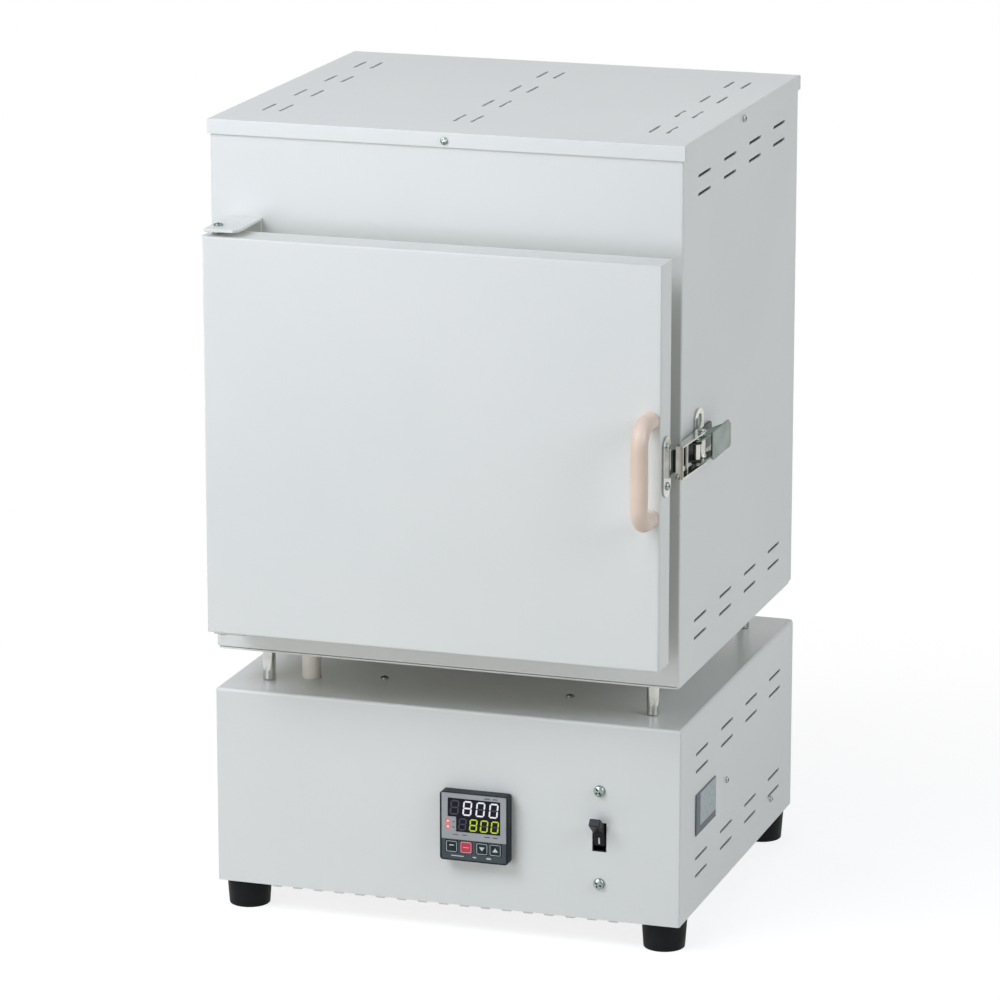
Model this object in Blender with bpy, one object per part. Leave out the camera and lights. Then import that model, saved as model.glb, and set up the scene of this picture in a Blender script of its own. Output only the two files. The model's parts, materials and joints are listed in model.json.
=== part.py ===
"""Programmable electric furnace: a bench muffle furnace on posts over its control base.

Metres, +Z up, front towards -Y. While the cabinet is laid out, x = 0 is its middle, y = 0 the front
faces of base and body, and z = 0 the floor. An empty then carries everything to the part's own
origin, the middle of the whole object's footprint on the floor.
"""

import math

import bmesh
import bpy
from mathutils import Matrix, Vector

# Fits shared by the whole furnace
TOUCH = 0.0003           # gap left where two pieces lie on each other
SHEET = 0.0012           # steel sheet of base, body and door
OVERRUN = 0.004          # how far every cutter runs past what it cuts
ROUND_STEPS = 24         # facets of an ordinary round piece
FINE_STEPS = 16          # facets of pins and screws
SMOOTH_ANGLE = math.radians(35)   # edges sharper than this stay sharp

# Base cabinet
BASE_WIDTH = 0.3287
BASE_DEPTH = 0.2865
BASE_HEIGHT = 0.1372
BASE_TOP_RADIUS = 0.0025
CORNER_RADIUS = 0.0015
TRAY_FLANGE = 0.015
BOTTOM_LOUVRES = 17
BOTTOM_LOUVRE_PITCH = 0.015
BOTTOM_LOUVRE_OFFSET = -0.002   # row's middle from the base's middle
BOTTOM_LOUVRE_LENGTH = 0.0085
BOTTOM_LOUVRE_SLOPE = 0.0012    # length of each sloped end
BOTTOM_LOUVRE_DEPTH = 0.010
BOTTOM_LOUVRE_DROP = 0.0015
BOTTOM_LOUVRE_SETBACK = 0.0003  # behind the tray's front edge

# Rubber feet
FOOT_HEIGHT = 0.020
FOOT_TOP_RADIUS = 0.0155
FOOT_SOLE_RADIUS = 0.0140
FOOT_EDGE = 0.0015
FOOT_SCREW_WELL_RADIUS = 0.006
FOOT_SCREW_WELL_DEPTH = 0.011
FOOT_INSET_X = 0.0158
FOOT_INSET_Y = 0.0195

# Posts and conduit between base and body
AIR_GAP = 0.02975
POST_RADIUS = 0.00425
POST_CHAMFER = 0.0006
POST_INSET_X = 0.0264
POST_INSET_Y = 0.030
CONDUIT_INSET = 0.05195  # from the body's left side
CONDUIT_Y = 0.044
CONDUIT_RADIUS = 0.0065
CONDUIT_BORE_RADIUS = 0.004
CONDUIT_REACH = 0.008

# Ventilation slots
SLOT_WIDTH = 0.002
SLOT_END_STEPS = 6
SLOT_ROW_GAP = 0.0122
SIDE_SLOT_LENGTH = 0.0297
SIDE_SLOT_COLUMNS = 4
BASE_SLOT_FRONT = 0.0525  # first column's middle from the base's front
BASE_SLOT_REAR = 0.048    # last column's middle from the base's back
BASE_SLOT_HIGH = 0.0971
BASE_SLOT_LOW = 0.0238
BODY_SLOT_FRONT = 0.050
BODY_SLOT_REAR = 0.049
BODY_SLOT_HIGH = 0.3230
BODY_SLOT_LOW = 0.0235
LID_SLOT_LENGTH = 0.027
LID_SLOT_ROWS = 4
LID_SLOT_PITCH = 0.060
LID_SLOT_PAIR = 0.012
LID_SLOT_INSET = 0.02875  # outer pairs from the body's sides
BACK_SLOT_LENGTH = 0.040
BACK_SLOT_PITCH = 0.060
BACK_SLOT_COLUMNS = 4
BACK_SLOT_INSET = 0.030

# Body casing and lid
BODY_SIDE_SETBACK = 0.0016    # body inside the base on each side
BODY_REAR_SETBACK = 0.0015
BODY_HEIGHT = 0.36155
FLOOR_FLANGE = 0.012
MOUTH_MARGIN = 0.020     # from the chamber's wall to the edge of the mouth
LID_OVERHANG = 0.0014
LID_LIP = 0.010
LID_SHEET = 0.001
LID_EDGE_RADIUS = 0.0008
LID_SEAM = 0.0007

# Heated chamber and its insulation
CHAMBER_SIDE_SPACE = 0.08275   # from the casing's side to the chamber
CHAMBER_EDGE_SPACE = 0.0648    # from the door's upper or lower edge to the chamber
CHAMBER_REAR_SPACE = 0.095     # body depth that isn't chamber: board, leads and air
BOARD = 0.050
BACK_BOARD = 0.045
RAIL_WIDTH = 0.030
RAIL_SHEET = 0.0015
RAIL_INSET = 0.045       # rail's middle from the outer side of the boards
RAIL_FRONT = 0.020
HEATER_THICKNESS = 0.006
HEATER_FRONT = 0.0335
HEATER_BACK = 0.010
HEATER_GROOVES = 5
HEATER_GROOVE = 0.006
HEATER_GROOVE_DEPTH = 0.003
HEATER_GROOVE_MARGIN = 0.012
HEARTH_THICKNESS = 0.008
HEARTH_SIDE_SPACE = 0.010
HEARTH_FRONT = 0.0225
HEARTH_BACK = 0.012
PROBE_RADIUS = 0.003
PROBE_REACH = 0.030
PROBE_DROP = 0.010
PROBE_HEAD_RADIUS = 0.012
PROBE_HEAD = 0.022
PROBE_CLEARANCE = 0.0003
HEATER_TERMINAL_SIZE = (0.110, 0.018, 0.024)
HEATER_TERMINAL_DROP = 0.030
HEATER_TERMINAL_WELLS = 4
HEATER_TERMINAL_WELL_DEPTH = 0.008

# Door
DOOR_DEPTH = 0.023
DOOR_GAP = 0.022         # from the body's front to the door's back
DOOR_LIFT = 0.0222       # from the body's lower edge to the door's
DOOR_DROP = 0.06975      # from the lid's top to the door's upper edge
DOOR_LEFT_SETBACK = 0.01075    # from the body's left side to the door's
DOOR_RIGHT_SETBACK = 0.00095
DOOR_EDGE_RADIUS = 0.0018
DOOR_BOARD_INSET = 0.014
PAD_CLEARANCE = 0.002
PLUG_CLEARANCE = 0.006
PLUG_DEPTH = 0.0185

# Hinges: a pin through a bracket above the door, another below
HINGE_INSET = 0.0075     # pin centre from the door's left edge
HINGE_SETBACK = 0.012    # pin centre from the door's front face
HINGE_PLATE = 0.0019
HINGE_UPPER_PLAY = 0.0032
HINGE_LOWER_PLAY = 0.0010
HINGE_PLATE_WIDTH = 0.0235
HINGE_PLATE_LEFT = 0.002
HINGE_PLATE_FRONT = 0.0015  # upper plate ahead of the door's front face
HINGE_LOWER_FRONT = 0.0045  # lower plate ahead of its pin's centre, hidden under the door
HINGE_LEG = 0.0275
HINGE_CHAMFER_WIDTH = 0.003
HINGE_CHAMFER_DEPTH = 0.004
HINGE_PIN_RADIUS = 0.0025
HINGE_PIN_REACH = 0.010
HINGE_HEAD_RADIUS = 0.00325
HINGE_HEAD = 0.0012
HINGE_COLLAR_RADIUS = 0.0045

# Fittings at the door's free edge, all at one height
FITTINGS_RISE = 0.0005   # their middle above the door's middle

# Door handle
HANDLE_RADIUS = 0.0063
HANDLE_PITCH = 0.0648
HANDLE_STANDOFF = 0.024
HANDLE_BEND = 0.013
HANDLE_INSET = 0.0068
HANDLE_BEND_STEPS = 6
HANDLE_SIDES = 16

# Draw latch on the body's right side
LATCH_SHEET = 0.0012
LATCH_BASE_HALF = 0.013
LATCH_BASE_FRONT = 0.0008
LATCH_BASE_BACK = 0.052
LATCH_FLANGE_TOE = 0.0025
LATCH_FLANGE_RISE = 0.01395
LATCH_FLANGE_PEAK_Y = 0.020
LATCH_FLANGE_END_Y = 0.044
LATCH_FLANGE_HEEL = 0.002
LEVER_PIVOT_X = 0.00705  # from the body's side
LEVER_PIVOT_Y = 0.0125
LEVER_RIVET_RADIUS = 0.0015
LEVER_RIVET_HEAD_RADIUS = 0.0026
LEVER_RIVET_HEAD = 0.0009
LEVER_HALF = 0.0093
LEVER_SHEET = 0.0012
LEVER_PLATE_RISE = 0.01345
LEVER_PLATE_FRONT = 0.031
LEVER_END = 0.077
LEVER_EYE_RADIUS = 0.004
LEVER_EYE_STEPS = 6
LEVER_CHEEK_INSET = 0.0046
LEVER_CHEEK_LENGTH = 0.0205
LEVER_CHEEK_END = 0.048
LEVER_FLARE = 0.0015
LEVER_FLARE_LENGTH = 0.008
LEVER_CORNER = 0.0017
LOOP_PIVOT_X = 0.00625
LOOP_PIVOT_Y = 0.026
LOOP_PIN_RADIUS = 0.0015
LOOP_PIN_HEAD = 0.0007
LOOP_PIN_HEAD_RADIUS = 0.0023
LOOP_SLEEVE_RADIUS = 0.00325
LOOP_ARM = 0.002
LOOP_SHEET = 0.0016
LOOP_HALF = 0.0115
LOOP_REACH = 0.0476      # from its pivot to the front of its hook bar
LOOP_WINDOW = 0.0123
LOOP_HOOK_IN = 0.0027
LOOP_HOOK_OUT = 0.0008
PIN_CLEARANCE = 0.0003
EAR_FRONT = 0.029
EAR_WIDTH = 0.020
EAR_HEIGHT = 0.0225      # above the latch's middle
EAR_CORNER = 0.008
EAR_CORNER_STEPS = 4
EAR_HOLE_RADIUS = 0.0025
EAR_HOLE_DROP = 0.0065

# Keeper on the door's right side
KEEPER_WIDTH = 0.016
KEEPER_HEIGHT = 0.040
KEEPER_SHEET = 0.0012
KEEPER_SETBACK = 0.003   # plate's rear edge ahead of the door's back
KEEPER_TONGUE_HALF = 0.011
KEEPER_TONGUE = 0.0087
KEEPER_LIP = 0.0032
KEEPER_HOLE_RADIUS = 0.0017
KEEPER_HOLE_PITCH = 0.026

# Controller in the base's front
CONTROLLER_INSET = 0.14105   # from the base's right side
CONTROLLER_Z = 0.05835    # above the base's lower edge
BEZEL_SIZE = 0.048
BEZEL_DEPTH = 0.009
BEZEL_CORNER = 0.002
CASE_SIZE = 0.0446
CASE_DEPTH = 0.060
CUTOUT_CLEARANCE = 0.0003
FACE_WIDTH = 0.0456
FACE_HEIGHT = 0.0464
FACE_SHEET = 0.0007
FACE_RECESS = 0.0012
FACE_FIT = 0.0002
WINDOW_LEFT = -0.0181
WINDOW_STEP_X = -0.0122
WINDOW_RIGHT = 0.0183
WINDOW_TOP = 0.0195
WINDOW_STEP_Z = 0.0070
WINDOW_BOTTOM = -0.0033
WINDOW_THICKNESS = 0.0022
WINDOW_PROUD = 0.0001
POCKET_DEPTH = 0.0036
POCKET_WIDTH = 0.0410
POCKET_TOP = 0.0205
POCKET_BOTTOM = -0.0195
KEY_SIZE = 0.0080
KEY_Z = -0.0141
KEY_CENTRES = (-0.0156, -0.0054, 0.0058, 0.0152)
KEY_NAMES = ("menu_key", "run_key", "down_key", "up_key")
KEY_PROUD = 0.0004
KEY_LENGTH = 0.0023
KEY_CORNER = 0.0008
CLAMP_WIDTH = 0.056
CLAMP_HEIGHT = 0.050
CLAMP_DEPTH = 0.008

# Power switch in the base's front
SWITCH_INSET = 0.05575   # from the base's right side
SWITCH_Z = 0.0579
SWITCH_OPENING_WIDTH = 0.0099
SWITCH_OPENING_HEIGHT = 0.0204
SWITCH_BODY_WIDTH = 0.016
SWITCH_BODY_HEIGHT = 0.048
SWITCH_BODY_DEPTH = 0.034
SWITCH_WALL = 0.0006
SWITCH_NOSE_RECESS = 0.0002
SWITCH_AXIS_Y = 0.0072
SWITCH_DRUM_RADIUS = 0.008
SWITCH_DRUM_CLEARANCE = 0.0012
SWITCH_LEVER_WIDTH = 0.0076
SWITCH_LEVER_REACH = 0.0235
SWITCH_LEVER_ROOT = 0.0030
SWITCH_LEVER_TIP = 0.0027
SWITCH_TILT = math.radians(36)
SWITCH_PLATE_WIDTH = 0.022
SWITCH_PLATE_MARGIN = 0.0066   # plate beyond its screws' middles
SWITCH_PLATE_SHEET = 0.0015
SWITCH_SCREW_PITCH = 0.0648
SWITCH_SCREW_HEAD_RADIUS = 0.00385
SWITCH_SCREW_HEAD = 0.0026
SWITCH_SCREW_RADIUS = 0.0019
SWITCH_SCREW_LENGTH = 0.007
SCREW_CLEARANCE = 0.0004

# Pieces inside and on the base
RELAY_SIZE = (0.045, 0.058, 0.027)
RELAY_INSET = 0.09435    # from the base's left side
RELAY_Y = 0.120
TERMINAL_SIZE = (0.080, 0.024, 0.018)
TERMINAL_INSET = 0.10435    # from the base's right side
TERMINAL_Y = 0.200
TERMINAL_SLOTS = 6
TERMINAL_SLOT_WIDTH = 0.009
TERMINAL_SLOT_DEPTH = 0.007
TERMINAL_WALL = 0.0025
PLATE_FRONT = 0.037
PLATE_LENGTH = 0.048
PLATE_BOTTOM = 0.0526
PLATE_HEIGHT = 0.0285
PLATE_THICKNESS = 0.0005
GLAND_INSET = 0.07435    # from the base's left side
GLAND_Z = 0.045
GLAND_RADIUS = 0.010
GLAND_BORE_RADIUS = 0.0045
GLAND_NUT_RADIUS = 0.0135
GLAND_NUT = 0.006
GLAND_DOME = 0.012
GLAND_DOME_RADIUS = 0.008
GLAND_THREAD = 0.012

# Sizes that follow from the ones above
BODY_WIDTH = BASE_WIDTH - 2 * BODY_SIDE_SETBACK
BODY_DEPTH = BASE_DEPTH - BODY_REAR_SETBACK
DOOR_WIDTH = BODY_WIDTH - DOOR_LEFT_SETBACK - DOOR_RIGHT_SETBACK
DOOR_HEIGHT = BODY_HEIGHT - DOOR_LIFT - DOOR_DROP
CHAMBER_WIDTH = BODY_WIDTH - 2 * CHAMBER_SIDE_SPACE
CHAMBER_HEIGHT = DOOR_HEIGHT - 2 * CHAMBER_EDGE_SPACE
CHAMBER_DEPTH = BODY_DEPTH - CHAMBER_REAR_SPACE
MOUTH_WIDTH = CHAMBER_WIDTH + 2 * MOUTH_MARGIN
MOUTH_HEIGHT = CHAMBER_HEIGHT + 2 * MOUTH_MARGIN
HEARTH_WIDTH = CHAMBER_WIDTH - 2 * HEARTH_SIDE_SPACE
SWITCH_PLATE_HEIGHT = SWITCH_SCREW_PITCH + 2 * SWITCH_PLATE_MARGIN

# Places worked out from the sizes above
Z_BASE = FOOT_HEIGHT + TOUCH
Z_BASE_TOP = Z_BASE + BASE_HEIGHT
Z_BODY = Z_BASE_TOP + AIR_GAP
Z_LID_TOP = Z_BODY + BODY_HEIGHT
Z_CASING_TOP = Z_LID_TOP - LID_SHEET - TOUCH
Z_DOOR = Z_BODY + DOOR_LIFT
Z_DOOR_TOP = Z_DOOR + DOOR_HEIGHT
Z_MIDDLE = Z_DOOR + DOOR_HEIGHT / 2
Y_DOOR_BACK = -DOOR_GAP
Y_DOOR_FRONT = Y_DOOR_BACK - DOOR_DEPTH
Y_INNER = SHEET + TOUCH
X_BASE = BASE_WIDTH / 2
X_BODY = BODY_WIDTH / 2
X_LID_SLOTS = X_BODY - LID_SLOT_INSET
CONDUIT_X = CONDUIT_INSET - X_BODY
CONTROLLER_X = X_BASE - CONTROLLER_INSET
SWITCH_X = X_BASE - SWITCH_INSET
RELAY_X = RELAY_INSET - X_BASE
TERMINAL_X = X_BASE - TERMINAL_INSET
GLAND_X = GLAND_INSET - X_BASE
X_DOOR_RIGHT = X_BODY - DOOR_RIGHT_SETBACK
X_DOOR_LEFT = X_DOOR_RIGHT - DOOR_WIDTH
Z_CHAMBER = Z_MIDDLE - CHAMBER_HEIGHT / 2
Z_CHAMBER_TOP = Z_MIDDLE + CHAMBER_HEIGHT / 2
Y_CHAMBER_BACK = Y_INNER + CHAMBER_DEPTH
X_CORE = CHAMBER_WIDTH / 2 + BOARD
X_RAIL = X_CORE - RAIL_INSET
Z_CORE = Z_CHAMBER - BOARD
Z_CORE_TOP = Z_CHAMBER_TOP + BOARD
Y_CORE_BACK = Y_CHAMBER_BACK + TOUCH + BACK_BOARD
HINGE_AXIS = Vector((X_DOOR_LEFT + HINGE_INSET, Y_DOOR_FRONT + HINGE_SETBACK, Z_MIDDLE))
Z_LATCH = Z_MIDDLE + FITTINGS_RISE
X_LATCH = X_BODY + TOUCH
LEVER_AXIS = Vector((X_BODY + LEVER_PIVOT_X, LEVER_PIVOT_Y, Z_LATCH))
LOOP_AXIS = Vector((X_BODY + LOOP_PIVOT_X, LOOP_PIVOT_Y, Z_LATCH))
X_LEVER_PLATE = X_BODY + LEVER_PLATE_RISE
LOOP_INNER = LEVER_HALF - LEVER_SHEET - TOUCH
CONTROLLER = Vector((CONTROLLER_X, 0, Z_BASE + CONTROLLER_Z))
SWITCH_AXIS = Vector((SWITCH_X, SWITCH_AXIS_Y, Z_BASE + SWITCH_Z))
GLAND = Vector((GLAND_X, BASE_DEPTH, Z_BASE + GLAND_Z))
Y_HANDLE = Y_DOOR_FRONT - TOUCH - HANDLE_STANDOFF

# The footprint's reach on each side, which sets the origin
REACH_LEFT = max(X_BASE, X_BODY + LID_OVERHANG)
REACH_RIGHT = max(X_BASE, X_LEVER_PLATE + LEVER_FLARE)
REACH_FRONT = Y_HANDLE - HANDLE_RADIUS
REACH_BACK = BASE_DEPTH + TOUCH + GLAND_NUT + GLAND_DOME
ORIGIN = Vector(((REACH_RIGHT - REACH_LEFT) / 2, (REACH_FRONT + REACH_BACK) / 2, 0))

X_AXIS = Vector((1, 0, 0))


def clear_scene():
    for thing in list(bpy.data.objects):
        bpy.data.objects.remove(thing, do_unlink=True)


def empty(name, at, parent=None):
    """An empty at a world place; children are placed from it."""
    holder = bpy.data.objects.new(name, None)
    holder.empty_display_size = TRAY_FLANGE
    bpy.context.collection.objects.link(holder)
    holder["place"] = list(at)
    base = Vector(parent["place"]) if parent else ORIGIN
    holder.parent = parent
    holder.location = Vector(at) - base
    return holder


def finish(name, colour, roughness, metallic):
    material = bpy.data.materials.new(name)
    material.use_nodes = True
    shader = material.node_tree.nodes["Principled BSDF"]
    shader.inputs["Base Color"].default_value = (*colour, 1.0)
    shader.inputs["Roughness"].default_value = roughness
    shader.inputs["Metallic"].default_value = metallic
    return material


FINISHES = {
    "enamel": ((0.78, 0.80, 0.80), 0.45, 0.0),
    "galvanised": ((0.55, 0.56, 0.57), 0.40, 0.9),
    "chrome": ((0.80, 0.80, 0.81), 0.12, 1.0),
    "rubber": ((0.02, 0.02, 0.02), 0.80, 0.0),
    "fibre": ((0.90, 0.88, 0.84), 0.95, 0.0),
    "ceramic": ((0.86, 0.83, 0.77), 0.60, 0.0),
    "handle": ((0.82, 0.68, 0.58), 0.40, 0.0),
    "black": ((0.03, 0.035, 0.04), 0.45, 0.0),
    "face": ((0.30, 0.32, 0.34), 0.40, 0.0),
    "window": ((0.01, 0.01, 0.012), 0.10, 0.0),
    "red": ((0.60, 0.06, 0.08), 0.45, 0.0),
    "tube": ((0.85, 0.82, 0.77), 0.50, 0.0),
    "cream": ((0.75, 0.73, 0.66), 0.50, 0.0),
}


def add_piece(name, bm, at, look, parent):
    """Turn a mesh drawn around its own origin into a named sub-part standing at a world place."""
    bmesh.ops.recalc_face_normals(bm, faces=bm.faces)
    mesh = bpy.data.meshes.new(name)
    bm.to_mesh(mesh)
    bm.free()
    piece = bpy.data.objects.new(name, mesh)
    bpy.context.collection.objects.link(piece)
    piece.parent = parent
    piece.location = Vector(at) - Vector(parent["place"])
    mesh.materials.append(finish(name, *FINISHES[look]))
    return piece


def smooth(piece):
    piece.data.shade_smooth()
    piece.data.set_sharp_from_angle(angle=SMOOTH_ANGLE)


def combine(piece, bm, operation):
    """Cut, or join, a piece with a tool mesh drawn around the piece's own origin."""
    bmesh.ops.recalc_face_normals(bm, faces=bm.faces)
    mesh = bpy.data.meshes.new(piece.name + "_tool")
    bm.to_mesh(mesh)
    bm.free()
    tool = bpy.data.objects.new(mesh.name, mesh)
    bpy.context.collection.objects.link(tool)
    tool.parent = piece.parent
    tool.location = piece.location
    tool.hide_render = True
    tool.display_type = "WIRE"
    modifier = piece.modifiers.new(operation.title(), "BOOLEAN")
    modifier.operation = operation
    modifier.solver = "EXACT"
    modifier.object = tool


def cut(piece, bm):
    combine(piece, bm, "DIFFERENCE")


def join(piece, bm):
    combine(piece, bm, "UNION")


def add_box(bm, low, high):
    """A box between two corners; returns its edges for bevelling."""
    low, high = Vector(low), Vector(high)
    made = bmesh.ops.create_cube(bm, size=1.0)
    for vert in made["verts"]:
        for i in range(3):
            vert.co[i] = low[i] if vert.co[i] < 0 else high[i]
    return list({edge for vert in made["verts"] for edge in vert.link_edges})


def box_mesh(low, high):
    bm = bmesh.new()
    add_box(bm, low, high)
    return bm


def round_edges(bm, edges, test, radius, steps=2):
    """Round the edges whose middle point passes the test."""
    chosen = [e for e in edges if test((e.verts[0].co + e.verts[1].co) / 2, e)]
    bmesh.ops.bevel(bm, geom=chosen, offset=radius, segments=steps, profile=0.5,
                    affect="EDGES", clamp_overlap=True)


def add_prism(bm, outline, axis, start, end):
    """A flat outline pushed along an axis: outline points are (y, z), (x, z) or (x, y)."""
    def corner(point, level):
        if axis == "X":
            return (level, point[0], point[1])
        if axis == "Y":
            return (point[0], level, point[1])
        return (point[0], point[1], level)
    first = [bm.verts.new(corner(p, start)) for p in outline]
    last = [bm.verts.new(corner(p, end)) for p in outline]
    count = len(outline)
    for i in range(count):
        j = (i + 1) % count
        bm.faces.new((first[i], first[j], last[j], last[i]))
    bm.faces.new(first)
    bm.faces.new(list(reversed(last)))
    return first + last


def prism_mesh(outline, axis, start, end):
    bm = bmesh.new()
    add_prism(bm, outline, axis, start, end)
    return bm


def add_cylinder(bm, centre, axis, radius, start, end, steps=ROUND_STEPS):
    """A round bar along an axis through centre, between two levels on that axis."""
    outline = []
    for i in range(steps):
        angle = 2 * math.pi * (i + 0.5) / steps
        outline.append((centre[0] + radius * math.cos(angle), centre[1] + radius * math.sin(angle)))
    add_prism(bm, outline, axis, start, end)


def add_turned(bm, profile, turn, steps=ROUND_STEPS):
    """A closed profile of (radius, level) points turned about Z, then laid along its axis by turn."""
    rings = []
    for i in range(steps):
        angle = 2 * math.pi * i / steps
        ring = [turn @ Vector((r * math.cos(angle), r * math.sin(angle), level)) for r, level in profile]
        rings.append([bm.verts.new(point) for point in ring])
    count = len(profile)
    for i in range(steps):
        here, there = rings[i], rings[(i + 1) % steps]
        for j in range(count):
            k = (j + 1) % count
            bm.faces.new((here[j], there[j], there[k], here[k]))
    bmesh.ops.remove_doubles(bm, verts=bm.verts, dist=TOUCH / 100)


UPRIGHT = Matrix.Identity(3)
ALONG_Y = Matrix.Rotation(-math.pi / 2, 3, "X")


def turned_mesh(profile, turn=UPRIGHT, steps=ROUND_STEPS):
    bm = bmesh.new()
    add_turned(bm, profile, turn, steps)
    return bm


def rounded_rectangle(width, height, radius, steps=3):
    """Outline of a rectangle with rounded corners, about its own middle."""
    outline = []
    for quarter in range(4):
        sx = 1 if quarter in (0, 3) else -1
        sy = 1 if quarter in (0, 1) else -1
        for i in range(steps + 1):
            angle = math.pi / 2 * (quarter + i / steps)
            outline.append((sx * (width / 2 - radius) + radius * math.cos(angle),
                            sy * (height / 2 - radius) + radius * math.sin(angle)))
    return outline


def slots(bm, side, columns, rows, length, low, high):
    """Round-ended vent slits cut from low to high through a sheet, at each column and row middle."""
    radius = SLOT_WIDTH / 2
    for column in columns:
        for row in rows:
            outline = []
            for way in (1, -1):
                for i in range(SLOT_END_STEPS + 1):
                    angle = math.pi * (i / SLOT_END_STEPS - way / 2)
                    along = column + way * (length / 2 - radius) + radius * math.cos(angle)
                    across = row + radius * math.sin(angle)
                    outline.append((across, along) if side == "Z" else (along, across))
            add_prism(bm, outline, side, low, high)


def row_of(start, pitch, count):
    return [start + i * pitch for i in range(count)]


def side_slot_columns(front, back):
    """Even columns between the first and the last slot of a cabinet's side."""
    return row_of(front, (back - front) / (SIDE_SLOT_COLUMNS - 1), SIDE_SLOT_COLUMNS)


def pan_mesh(half_width, front, back, bottom, flange, sheet):
    """A tray: a flat sheet with its four edges turned up."""
    bm = bmesh.new()
    add_box(bm, (-half_width, front, bottom), (half_width, back, bottom + flange))
    return bm, box_mesh((-half_width + sheet, front + sheet, bottom + sheet),
                        (half_width - sheet, back - sheet, bottom + flange + OVERRUN))


# Base cabinet


def make_base_cover(frame):
    bm = bmesh.new()
    edges = add_box(bm, (-X_BASE, 0, Z_BASE), (X_BASE, BASE_DEPTH, Z_BASE_TOP))
    along_top = lambda mid, edge: mid.z > Z_BASE_TOP - TOUCH and mid.y < BASE_DEPTH - TOUCH
    round_edges(bm, edges, along_top, BASE_TOP_RADIUS, 3)
    front_edges = [e for e in bm.edges if abs(e.verts[0].co.z - e.verts[1].co.z) > BASE_HEIGHT / 2]
    round_edges(bm, front_edges, lambda mid, edge: mid.y < TOUCH, CORNER_RADIUS)
    cover = add_piece("base_cover", bm, (0, 0, 0), "enamel", frame)
    inner = bmesh.new()
    edges = add_box(inner, (-X_BASE + SHEET, SHEET, Z_BASE - OVERRUN),
                    (X_BASE - SHEET, BASE_DEPTH + OVERRUN, Z_BASE_TOP - SHEET))
    along_top = lambda mid, edge: mid.z > Z_BASE_TOP - SHEET - TOUCH and mid.y < BASE_DEPTH
    round_edges(inner, edges, along_top, BASE_TOP_RADIUS - SHEET, 3)
    cut(cover, inner)
    holes = bmesh.new()
    columns = side_slot_columns(BASE_SLOT_FRONT, BASE_DEPTH - BASE_SLOT_REAR)
    rows = [Z_BASE + low + lift for low in (BASE_SLOT_LOW, BASE_SLOT_HIGH) for lift in (0, SLOT_ROW_GAP)]
    for side in (-1, 1):
        ends = sorted((side * (X_BASE - SHEET - OVERRUN), side * (X_BASE + OVERRUN)))
        slots(holes, "X", columns, rows, SIDE_SLOT_LENGTH, *ends)
    half = CASE_SIZE / 2 + CUTOUT_CLEARANCE
    add_box(holes, (CONTROLLER.x - half, -OVERRUN, CONTROLLER.z - half),
            (CONTROLLER.x + half, SHEET + OVERRUN, CONTROLLER.z + half))
    half_x, half_z = SWITCH_OPENING_WIDTH / 2, SWITCH_OPENING_HEIGHT / 2
    add_box(holes, (SWITCH_X - half_x, -OVERRUN, SWITCH_AXIS.z - half_z),
            (SWITCH_X + half_x, SHEET + OVERRUN, SWITCH_AXIS.z + half_z))
    for way in (-1, 1):
        add_cylinder(holes, (SWITCH_X, SWITCH_AXIS.z + way * SWITCH_SCREW_PITCH / 2), "Y",
                     SWITCH_SCREW_RADIUS + SCREW_CLEARANCE, -OVERRUN, SHEET + OVERRUN, FINE_STEPS)
    add_cylinder(holes, (CONDUIT_X, CONDUIT_Y), "Z", CONDUIT_RADIUS + TOUCH,
                 Z_BASE_TOP - SHEET - OVERRUN, Z_BASE_TOP + OVERRUN)
    cut(cover, holes)


def make_base_tray(frame):
    outer, inner = pan_mesh(X_BASE - SHEET - TOUCH, Y_INNER, BASE_DEPTH - SHEET - TOUCH, Z_BASE,
                            TRAY_FLANGE, SHEET)
    tray = add_piece("base_tray", outer, (0, 0, 0), "galvanised", frame)
    cut(tray, inner)
    bumps = bmesh.new()
    start = BOTTOM_LOUVRE_OFFSET - BOTTOM_LOUVRE_PITCH * (BOTTOM_LOUVRES - 1) / 2
    half, flat = BOTTOM_LOUVRE_LENGTH / 2, BOTTOM_LOUVRE_LENGTH / 2 - BOTTOM_LOUVRE_SLOPE
    low, high = Z_BASE - BOTTOM_LOUVRE_DROP, Z_BASE + SHEET / 2
    front = Y_INNER + BOTTOM_LOUVRE_SETBACK
    for x in row_of(start, BOTTOM_LOUVRE_PITCH, BOTTOM_LOUVRES):
        outline = [(x - half, high), (x - half, Z_BASE), (x - flat, low),
                   (x + flat, low), (x + half, Z_BASE), (x + half, high)]
        add_prism(bumps, outline, "Y", front, front + BOTTOM_LOUVRE_DEPTH)
    join(tray, bumps)


def make_base_back(frame):
    half, top = X_BASE - SHEET - TOUCH, Z_BASE_TOP - SHEET - TOUCH
    corner = BASE_TOP_RADIUS
    outline = [(-half, Z_BASE), (half, Z_BASE), (half, top - corner), (half - corner, top),
               (corner - half, top), (-half, top - corner)]
    sheet = prism_mesh(outline, "Y", BASE_DEPTH - SHEET, BASE_DEPTH)
    panel = add_piece("base_back_panel", sheet, (0, 0, 0), "enamel", frame)
    holes = bmesh.new()
    add_cylinder(holes, (GLAND.x, GLAND.z), "Y", GLAND_RADIUS + TOUCH, BASE_DEPTH - SHEET - OVERRUN,
                 BASE_DEPTH + OVERRUN)
    cut(panel, holes)


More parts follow.
